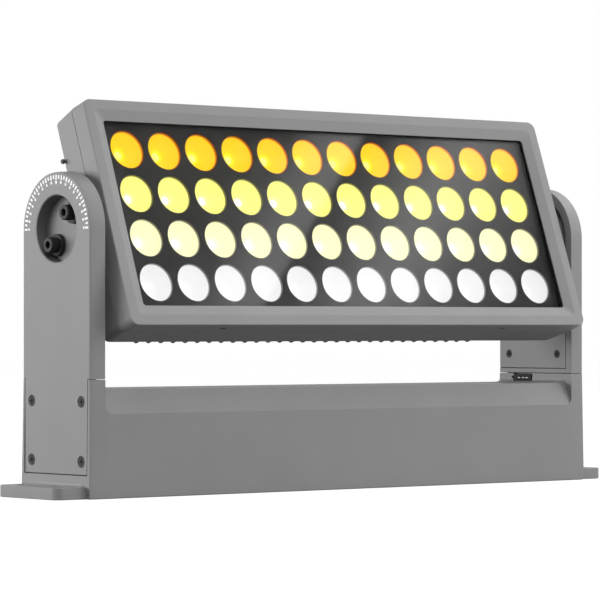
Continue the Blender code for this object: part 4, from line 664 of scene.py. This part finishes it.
# depth under the face, chamfer, depth of the rim; the recess flares above the head and narrows to its foot
headShape = {"sunk": 0.3, "chamfer": (0.25, 0.2), "rim": 0.35, "flares": (0.35, 0.05), "footShare": 0.55, "above": 1.0,
             "recess": 1.5, "cornerShare": 0.9, "corner": 0.4}


def draftAt(x):
    # the casting widens from its outer face inwards, fastest over the first 4 mm
    return np.interp(x, *np.array(armShape["draft"]).T)


def armOutline(inset, drop, x):
    # bottom and sides of the tongue, then the arm's own corners, then the half round about the pivot
    foot, radius = armShape["bottom"] + inset, armShape["radius"] + draftAt(x) - inset
    front, back = (side - inset / 2 for side in armShape["tongueSides"])
    tongue = foot - drop * (foot - armShape["tongueBottom"] - inset / 2)
    top = arc(radius, np.linspace(0, math.pi, armShape["arcSteps"] + 1), pivotHeight)
    start = [(-front, tongue), (back, tongue), (back, foot), (radius, foot)]
    return np.r_[start, top, [(-radius, foot), (-front, foot)]]


def armBody(side):
    # sections out along X: eased inner rim, plain block, then the outer plate that carries the tongue
    innerRim, outerRim = (np.stack(quarterTurn(armShape[key], 3), -1) for key in ("innerEdge", "outerEdge"))
    sections = [(inset, 0, armShape["inner"] + climb) for inset, climb in innerRim]
    sections += [(0, 0, armShape["tongueStart"]), (0, 1, armShape["tongueStart"]), (0, 1, armShape["draft"][1][0])]
    sections += [(inset, 1, armShape["outer"] - climb) for inset, climb in outerRim[::-1]]
    return rings(np.stack([alongX(side)(*armOutline(inset, drop, x).T, x) for inset, drop, x in sections]))


def sunkHole(size, face, inward, depth):
    # countersink with a fine chamfer at the face, then the clearance hole
    room, rim = countersink["room"], countersink["rim"]
    head, shank = screwShape[size]["head"] + room, screwShape[size]["shank"] + room
    steps = [(head + countersink["flare"], -countersink["past"]), (head, countersink["chamfer"]), (head, rim),
             (shank, rim + screwShape[size]["cone"]), (shank, depth)]
    return [(radius, face + inward * step) for radius, step in steps]


def pocketOutline():
    # round at the top about the pivot, one step narrower behind the cover plate
    pocket = armShape["pocket"]
    top = arc(pocket["wide"], np.linspace(0, math.pi, 49), pivotHeight)
    half = np.array([(pocket["narrow"], pocket["floor"]), (pocket["narrow"], pocket["step"]),
                     (pocket["wide"], pocket["step"])])
    return np.r_[half, top, (half * (-1, 1))[::-1]]


cover = armShape["cover"]
inner, outer = armShape["inner"], armShape["outer"]
for title, side in sides:
    arm = meshObject("arm" + title, [armBody(side)])
    carve(arm, [prism(pocketOutline(), alongX(side), armShape["cutStart"], armShape["pocket"]["end"])])
    added = [turned(rod(*armShape["collar"]), alongX(side, 0, pivotHeight), 72)]
    carve(arm, added + turnedAt(armShape["coverScrews"], side, rod(*armShape["boss"]), 32), "UNION")
    cuts = [turned(armShape["bore"], alongX(side, 0, pivotHeight), 96)]
    cuts += turnedAt(armShape["armScrews"], side, sunkHole("M5", outer, -1, 12), 32)
    gap, nearY, low, high = cover["gap"], cover["front"], cover["bottom"], cover["top"]
    cuts.append(roundedSlab(rectOutline(nearY - gap, cover["recessBack"], low - gap, high + gap), alongX(side),
                            armShape["cutStart"], inner + cover["thickness"] + cover["room"], cutterEdge))
    carve(arm, cuts)
    pilots = turnedAt(armShape["coverScrews"], side, rod(*armShape["pilot"]), 20)
    if side > 0:
        *ways, bore = armShape["loom"]
        pilots += [turned(rod(bore, start, end), alongZ(x, y), 20) for x, y, start, end in ways]
    carve(arm, pilots)
    dress(arm, "greyCoat", "base", ["arm_" + title.lower()])

    sheet = roundedSlab(rectOutline(nearY, cover["back"], low, high, cover["corner"]), alongX(side), inner,
                        inner + cover["thickness"], cover["edge"])
    coverPlate = meshObject("armCover" + title, [sheet])
    carve(coverPlate, turnedAt(armShape["coverScrews"], side, sunkHole("M4", inner, 1, 6), 32))
    dress(coverPlate, "greyCoat", "base", ["arm_cover_" + title.lower()])
    # dark rubber cord in the gap round the cover, open at the back: painted shade that stands in for the shadow in the
    # gap
    back = cover["back"] - cover["sealBack"]
    gapShadeOutline = [(back, low - gap), (nearY - gap, low - gap), (nearY - gap, high + gap), (back, high + gap),
            (back, high), (nearY, high), (nearY, low), (back, low)]
    ring = prism(gapShadeOutline, alongX(side), *(inner + level for level in cover["seal"]))
    dress(meshObject("coverSeal" + title, [ring]), "rubber", "base")


def sunkScrew(name, size, face, inward, place):
    # flat head just under the face with a cross recess, cone, and plain shank
    look = screwShape[size]
    top, rim = face + inward * headShape["sunk"], headShape["rim"]
    bite, drop = headShape["chamfer"]
    steps = [(look["head"] - bite, 0), (look["head"], drop), (look["head"], rim), (look["shank"], rim + look["cone"]),
             (look["shank"], look["length"])]
    screw = meshObject(name, [turned([(radius, top + inward * step) for radius, step in steps], place, 32)])
    levels = np.array([face - inward * headShape["above"], top, top + inward * headShape["recess"]])
    for halfSizes in (look["slot"], look["slot"][::-1]):
        halfSizes = np.array(halfSizes)
        sizes = np.stack([*(halfSizes + flare for flare in headShape["flares"]), halfSizes * headShape["footShare"]])
        corners = np.minimum(sizes.min(1) * headShape["cornerShare"], headShape["corner"])
        outline = roundRect(*sizes.T, corners, 2)
        carve(screw, [rings(place(outline[..., 0], outline[..., 1], levels[:, None]))])
    return screw


for title, side in sides:
    for kind, size, face, inward in (("arm", "M5", outer, -1), ("cover", "M4", inner, 1)):
        for number, spot in enumerate(armShape[kind + "Screws"], 1):
            screw = sunkScrew("%sScrew%s%d" % (kind, title, number), size, face, inward, alongX(side, *spot))
            dress(screw, "blackSteel", "base", ["%s_screw_%s_%d" % (kind, title.lower(), number)])

capShape = {"segments": 96, "profile": [
    (25.8, 283.3), (25.8, 281.8), (27.6, 281.8), (28.0, 282.2), (28.0, 285.3), (27.5, 285.8), (24.6, 285.8),
    (24.2, 285.3), (23.6, 285.3), (23.2, 285.7), (0.0, 285.5)]}
cap = meshObject("hubCap", [turned(capShape["profile"], alongX(1, 0, pivotHeight), capShape["segments"])])
dress(cap, "blackPlastic", "base", ["hub_cap"])

scaleShape = {
    "step": 5, "lift": (285.78, 285.86),
    # which of the angles, outer radius, inner radius, half width: ticks, shorter ticks, dots, line at the middle
    "marks": [(slice(0, None, 2), 45.2, 41.2, 0.82), (slice(1, None, 2), 44.9, 41.9, 0.82),
              (slice(0, None, 2), 40.0, 37.9, 0.95), (slice(18, 19), 41.2, 37.1, 0.3)],
}


def radialMarks(angles, outerR, innerR, half):
    # flat bars that point at the pivot, each from the paint's underside to its top
    along = np.stack([np.cos(angles), np.sin(angles)], -1)[:, None]
    across = np.stack([-np.sin(angles), np.cos(angles)], -1)[:, None]
    corners = np.array([(outerR, half), (outerR, -half), (innerR, -half), (innerR, half)])
    bars = corners[:, :1] * along + corners[:, 1:] * across
    return [prism(bar, alongX(-1, 0, pivotHeight), *scaleShape["lift"]) for bar in bars]


angles = np.radians(np.arange(0, 181, scaleShape["step"]))
marks = [bar for which, *sizes in scaleShape["marks"] for bar in radialMarks(angles[which], *sizes)]
# the tilt scale's white marks carry the painted glow
dress(meshObject("tiltScale", marks), "whiteWithPaintedGlow", "base")
print("arms ready")


# base

baseShape = {
    # half length, half depth and height: widest line and top; then how the edge below draws in, and its height
    "band": (286.9, 48.3, 10.2), "top": (285.8, 47.2, 99.15), "lowEdge": (1.1, 0.3, 0.8),
    "cornerReach": (0.01, 0.8, 0.7, 0.7, 0.8, 0.01), "foot": (316.5, 43.0, 8.0, 10.2, 0.7),
    "slot": (302.1, 25.0, 4.5, 7.5, -5, 20),
    # block's inner side, its step's height, the two fillets in the top
    "stepX": 270.4, "stepZ": 90.7, "fillet": 4.0, "slopeFillet": 7.0,
    "slopeFoot": (-48.97, 70.5), "slopeCrest": (-40.0, 90.7), "slopeReach": (-0.15, 4, 22),
    "cavity": (278.0, 43.7, 87.2), "cavitySlope": (7.2, 70.5), "plateLedge": (282.0, 45.7, 4.4),
    "tongueRecess": (280.5, 45.15, 19.2), "port": (265.4, 274.7, 4.0, 29.5, 91.7),
    "outside": (330, 90, 130),                       # beyond the base on every side
    "footFillet": (2.2, 0.02), "seam": (91.75, 92.3, 40.2, 60, 6, 0.5, 0.1), "crease": 18,
    "edges": {"width": 0.45, "weld": 0.002, "flat": 0.4, "corner": 40},
}
halfX, halfY, bandTop = baseShape["band"]
topX, topY, topZ = baseShape["top"]
lowIn, midIn, midZ = baseShape["lowEdge"]
levels = np.array([(halfX - lowIn, halfY - lowIn, 0.0), (halfX - midIn, halfY - midIn, midZ), (halfX, halfY, bandTop),
                   (topX, topY, topZ)])


def baseOutline(x, y):
    # the raised ends follow the arms' draft on both long sides; only the outer corners are rounded
    along = x - topX + np.array([armShape["draft"][0][0] + topX - x, armShape["draft"][1][0], topX])
    extra = y + np.array([share for _, share in armShape["draft"]])
    half = np.r_[np.stack([along, extra], -1), np.stack([along, -extra], -1)[::-1]]
    corners = np.r_[half, (half * (-1, 1))[::-1]]
    return softCorners(corners, np.tile(baseShape["cornerReach"], 2), 6)


stack = np.stack([baseOutline(x, y) for x, y in levels[:, :2]])
base = meshObject("baseHousing", [rings(alongZ()(stack[..., 0], stack[..., 1], levels[:, 2:]))])
footX, footY, footCorner, footTop, footEdge = baseShape["foot"]
feet = roundedSlab(centredOutline(0, 0, footX, footY, footCorner, 8), alongZ(), 0.0, footTop, footEdge)
carve(base, [feet], "UNION")
# hollow fillet where each foot meets the end: x and z on a quarter circle about a centre above the foot
bend, sunk = baseShape["footFillet"]
height, along = quarterTurn(bend, 6)
curve = np.stack([halfX + along - sunk, footTop + height - sunk], -1)
curve = np.r_[[(halfX - 1, footTop - 1), (halfX - 1, footTop + bend)], curve, [(halfX + bend, footTop - 1)]]
endY = footY - footCorner / 2
for title, side in sides:
    carve(base, [prism(curve * (side, 1), alongY(), -endY, endY)], "UNION")


def openTop(bend, foot, high):
    # straight sides, an open top, and a quarter circle in each lower corner, in (x, height)
    x, (height, along) = baseShape["stepX"], quarterTurn(bend, 8)
    left = np.stack([-x + along, foot + height], -1)
    return np.r_[[(x, high), (-x, high)], left, (left * (-1, 1))[::-1]]


farX, farY, farZ = baseShape["outside"]
carve(base, [prism(openTop(baseShape["fillet"], baseShape["stepZ"], topZ + 4), alongY(), -farY, farY)])
# the slope: (a, b) across the base and up along the slope's face, the distance straight out from it
footPoint, crest = np.array(baseShape["slopeFoot"]), np.array(baseShape["slopeCrest"])
rise = np.linalg.norm(crest - footPoint)
up = (crest - footPoint) / rise
out = np.array([-up[1], up[0]])
below, above, reach = baseShape["slopeReach"]
carve(base, [prism(openTop(baseShape["slopeFillet"], below, rise + above),
                   lambda a, b, lift: np.c_[a, footPoint + b[:, None] * up + lift * out], 0, reach)])

cavityX, cavityY, cavityTop = baseShape["cavity"]
cutIn, cutLow = baseShape["cavitySlope"]
under = -10                          # below the floor
hollow = [(-cavityY, under), (cavityY, under), (cavityY, cavityTop), (cutIn - cavityY, cavityTop), (-cavityY, cutLow)]
carve(base, [prism(hollow, alongX(1), -cavityX, cavityX)])
ledgeX, ledgeY, ledgeZ = baseShape["plateLedge"]
ledge = [(-ledgeX, -ledgeY), (ledgeX, -ledgeY), (ledgeX, ledgeY), (-ledgeX, ledgeY)]
carve(base, [prism(ledge, alongZ(), under, ledgeZ)])
recessX, recessY, recessZ = baseShape["tongueRecess"]
cuts = [roundedSlab(rectOutline(-recessY, recessY, recessZ, farZ), alongX(side), recessX, farX, cutterEdge)
        for title, side in sides]
low, high, *sizes = baseShape["port"]
cuts.append(roundedSlab(rectOutline(*sizes, farZ), alongX(1), low, high, cutterEdge))
carve(base, cuts)
# seam along the foot of each raised end
bottom, top, nearY, farY, outside, inside, corner = baseShape["seam"]
stepX = baseShape["stepX"]
carve(base, [roundedSlab(rectOutline(-nearY, farY, bottom, top, corner), alongX(side), stepX - outside,
                         stepX + inside, cutterEdge) for title, side in sides])
slotX, slotY, slotRadius, slotHalf, low, high = baseShape["slot"]
carve(base, [roundedSlab(centredOutline(a * slotX, b * slotY, slotRadius, slotHalf, slotRadius - leastRadius, 8),
                         alongZ(), low, high, cutterEdge) for a in (-1, 1) for b in (-1, 1)])
softenEdges(base, baseShape["edges"])
dress(base, "greyCoat", "base", ["base_housing"], crease=baseShape["crease"])
print("base ready")

# thin dark rubber strip in the joint line round each tongue, and a pad in the gap under the arm: painted shade that
# stands in for the shadow in these gaps
sealShape = {"sides": (45.15, 19.2, 19.8, 99.1), "levels": (280.6, 285.65), "sunk": 0.12,
             "pad": (278.4, 285.5, 46.6, 99.05, 99.62), "padCorner": 0.1, "padEdge": 0.05}
wide, bottom, foot, top = sealShape["sides"]
nearY, farY = armShape["tongueSides"]
outline = np.array([(farY, foot), (farY, top), (wide, top), (wide, bottom), (-wide, bottom), (-wide, top),
                    (-nearY, top), (-nearY, foot)])
# its front strip comes out almost to the base's slanted end face
slant = np.interp(outline[:, 1], (bandTop, topZ), (halfX, topX)) - sealShape["sunk"]
deep, face = sealShape["levels"]
face = np.where(outline[:, 0] < 0, slant, face)
start, end, padY, low, high = sealShape["pad"]
for title, side in sides:
    pad = roundedSlab(rectOutline(-padY, padY, low, high, sealShape["padCorner"], 1), alongX(side), start, end,
                      sealShape["padEdge"], 1)
    dress(meshObject("tongueGapShade" + title, [prism(outline, alongX(side), deep, face), pad]), "rubber", "base")

portShape = {
    "block": (269.6, 274.4, 4.2, 28.4, 92.2, 98.4), "corner": 0.6, "edge": 0.4,
    "contacts": (10.9, 16.2, 21.5), "height": 94.9, "contact": (1.2, 0.36),
    # margin, corner, start and end from the block's face, edge
    "well": (0.8, 0.5, -2, 0.6, 0.1), "pad": (0, 0.3, -0.25, 0.7, 0.15),
    "pin": (30.5, 95.2), "pinProfile": [(0.66, 270.5), (1.1, 270.2), (1.1, 269.9), (0.55, 269.5)],
}


def contactSlabs(margin, corner, start, end, edge):
    # one slab at each contact of the port
    padY, padZ = (half + margin for half in portShape["contact"])
    face = portShape["block"][0]
    return [roundedSlab(centredOutline(y, portShape["height"], padY, padZ, corner), alongX(1), face + start,
                        face + end, edge) for y in portShape["contacts"]]


start, end, *sizes = portShape["block"]
port = meshObject("servicePort", [roundedSlab(rectOutline(*sizes, portShape["corner"]), alongX(1), start, end,
                                              portShape["edge"])])
carve(port, contactSlabs(*portShape["well"]))
dress(port, "blackPlastic", "base", ["service_port"])
# the port's white contacts carry the same painted glow
contacts = meshObject("portContacts", contactSlabs(*portShape["pad"]))
dress(contacts, "whiteWithPaintedGlow", "base", slot="bush_plastic")
pin = turned(portShape["pinProfile"], alongX(1, *portShape["pin"]), 20)
dress(meshObject("portPin", [pin]), "blackPlastic", "base")

glandShape = {
    "spots": {"power_gland": -180.0, "data_gland_in": 120.0, "data_gland_out": 165.0}, "height": 48.0,
    "hex": (13.4, 48.6, 54.6, 0.7), "hexCorner": 1.0, "stub": (9.5, 40.2, 51.6), "grips": (14, 0.035),
    "nut": [(10.8, 53.2), (11.6, 54.9), (12.0, 55.4), (12.0, 61.8), (11.6, 62.8), (9.6, 66.2), (7.4, 68.2), (6.6, 68.6),
            (5.2, 68.6), (4.9, 68.2), (4.5, 67.6), (4.5, 65.6)],
}


def gripped(angle, row):
    # flats for the fingers on the nut's straight rows
    count, depth = glandShape["grips"]
    return 1 - depth * (0.5 + 0.5 * np.cos(count * angle)) * ((row >= 2) & (row <= 4))


for node, x in glandShape["spots"].items():
    place = alongY(x, glandShape["height"])
    radius, low, high, edge = glandShape["hex"]
    title = node.title().replace("_", "")
    nutSeat = roundedSlab(sixSided(radius, glandShape["hexCorner"]), place, low, high, edge)
    gland = meshObject(title[0].lower() + title[1:], [nutSeat])
    carve(gland, [turned(rod(*glandShape["stub"]), place, 40)], "UNION")
    carve(gland, [turned(glandShape["nut"], place, 112, False, gripped)], "UNION")
    dress(gland, "blackPlastic", "base", [node])

ventShape = {"height": 48.0, "profile": [
    (5.5, 42.0), (5.5, 48.5), (7.7, 48.6), (8.0, 48.9), (8.0, 50.6), (7.5, 50.7), (7.5, 51.3), (8.0, 51.4),
    (8.0, 51.9), (6.9, 53.0), (4.0, 53.1), (3.8, 52.8), (0.0, 52.8)]}
vent = meshObject("baseVent", [turned(ventShape["profile"], alongY(0, ventShape["height"]), 64)])
dress(vent, "blackPlastic", "base", ["base_vent"])


# CAD nodes that keep their own shape

keptNodes = {
    "bareAluminium": ["base_bottom_plate"], "circuitWhite": ["led_board_%d" % n for n in range(1, 5)],
    "steel": ["power_supply"], "circuitGreen": ["driver_board", "control_board"],
    "rubber": ["base_gasket", "glass_gasket", "body_seal", "arm_loom"], "windowGlass": ["front_glass"],
}
finishes["windowGlass"] = glassFinish("windowGlass")
for finish, names in keptNodes.items():
    for name in names:
        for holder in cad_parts[name].material_slots:
            holder.material = finishes[finish]
print("kept nodes dressed")


# studio

studio = {
    "floorHalf": 9.0, "floorTop": -0.00005, "floorColour": (grey(0.155), grey(0.170)), "floorBlotch": 400,
    "floorLift": 0.94, "floorRoughness": 0.9, "floorSpecular": 0.1, "ambient": 0.01,
    "aim": (0, 0, 0.17), "distance": 3.0,
    # bearing from straight in front towards the right, height angle, watts, size
    "lamps": {
        "front": (0, 30, 9, 1.6), "frontLeft": (330, 30, 18.5, 1.6), "frontRight": (45, 18, 34.5, 2.4),
        "rightAbove": (60, 30, 10, 2.0), "rightSide": (90, 45, 21, 1.6), "leftAbove": (300, 58, 14, 1.6),
        "leftBack": (240, 4, 53, 2.0), "backLeft": (210, 4, 18, 1.6),
    },
    # a strip that only the window mirrors: middle, half size, the direction its brightness changes in, and its levels
    "card": {"place": (0.846, -0.764, 0.903), "half": 0.36, "across": (0.6952, 0.0983, -0.7770), "offset": 192.9,
             "glow": 3.0, "levels": [
                 (-160, 0), (-110, 0.15), (-80, 0.6), (-45, 0.85), (-31, 0.8), (-22, 0.06), (0, 0.12), (40, 0.5),
                 (80, 0.95), (110, 0.97), (140, 0.75), (170, 0.45), (220, 0.2), (260, 0)]},
}


for name, (bearing, height, watts, size) in studio["lamps"].items():
    lamp = bpy.data.objects.new(name, bpy.data.lights.new(name, "AREA"))
    lamp.data.shape, lamp.data.size, lamp.data.energy = "DISK", size, watts
    b, h = math.radians(bearing), math.radians(height)
    lamp.location = Vector(studio["aim"]) + studio["distance"] * Vector(
        (math.sin(b) * math.cos(h), -math.cos(b) * math.cos(h), math.sin(h)))
    # the lamp's own -Z points at the aim
    lamp.rotation_euler = (Vector(studio["aim"]) - lamp.location).to_track_quat("-Z", "Y").to_euler()
    scene.collection.objects.link(lamp)


def flatSheet(name, middle, acrossA, acrossB):
    # four corners at the middle plus and minus two half sides
    signs = np.array([(-1, -1), (1, -1), (1, 1), (-1, 1)])
    corners = np.asarray(middle) + signs[:, :1] * np.asarray(acrossA) + signs[:, 1:] * np.asarray(acrossB)
    mesh = bpy.data.meshes.new(name)
    mesh.from_pydata(corners.tolist(), [], [(0, 1, 2, 3)])
    sheet = bpy.data.objects.new(name, mesh)
    scene.collection.objects.link(sheet)
    return sheet


card = studio["card"]
facing = (Vector(card["place"]) - Vector(studio["aim"])).normalized()
sideways = facing.cross(Vector((0, 0, 1))).normalized()
upwards = sideways.cross(facing)
strip = flatSheet("windowStrip", card["place"], card["half"] * np.array(sideways), card["half"] * np.array(upwards))
strip.visible_camera = strip.visible_diffuse = strip.visible_shadow = False
stripMaterial, tree, shader, place = finishTree("windowStrip")
along = newNode(tree, "VectorMath", {0: place, 1: 1 / mm * np.array(card["across"])})
along.operation = "DOT_PRODUCT"
first, last = card["levels"][0][0], card["levels"][-1][0]
share = addRange(tree, along.outputs["Value"], 0, 1, (first - card["offset"], last - card["offset"]))
stops = [((spot - first) / (last - first), grey(level)) for spot, level in card["levels"]]
setInputs(shader, {"Base Color": (0, 0, 0, 1), "Specular IOR Level": 0, "Emission Strength": card["glow"],
                   "Emission Color": addRamp(tree, share, stops)})
strip.data.materials.append(stripMaterial)


def backdropShare(tree):
    # 1 for rays that show the backdrop: seen by the camera, in a reflection or through glass
    path = newNode(tree, "LightPath")
    total = path.outputs["Is Camera Ray"]
    for name in ("Is Glossy Ray", "Is Transmission Ray"):
        add = newNode(tree, "Math", {0: total, 1: path.outputs[name]})
        add.operation, add.use_clamp = "ADD", True
        total = add.outputs[0]
    return total


world = bpy.data.worlds.new("studio")
scene.world = world
world.use_nodes = True
tree = world.node_tree
backdrop = tree.nodes["Background"]
setInputs(backdrop, {"Color": (1, 1, 1, 1), "Strength": 1.0})
ambient = newNode(tree, "Background", {"Color": (1, 1, 1, 1), "Strength": studio["ambient"]})
mix = newNode(tree, "MixShader", {"Fac": backdropShare(tree), 1: ambient.outputs[0], 2: backdrop.outputs[0]})
setInputs(tree.nodes["World Output"], {"Surface": mix.outputs[0]})

floorMaterial, tree, shader, place = finishTree("paleFloor")
colour = addBlend(tree, addNoise(tree, place, studio["floorBlotch"], 3), *studio["floorColour"])
lift = newNode(tree, "Math", {0: backdropShare(tree), 1: studio["floorLift"]})
lift.operation = "MULTIPLY"
setInputs(shader, {"Base Color": colour, "Roughness": studio["floorRoughness"], "Emission Color": (1, 1, 1, 1),
                   "Specular IOR Level": studio["floorSpecular"], "Emission Strength": lift.outputs[0]})
half = studio["floorHalf"]
floor = flatSheet("floor", (0, 0, studio["floorTop"]), (half, 0, 0), (0, half, 0))
floor.data.materials.append(floorMaterial)
print("studio ready")
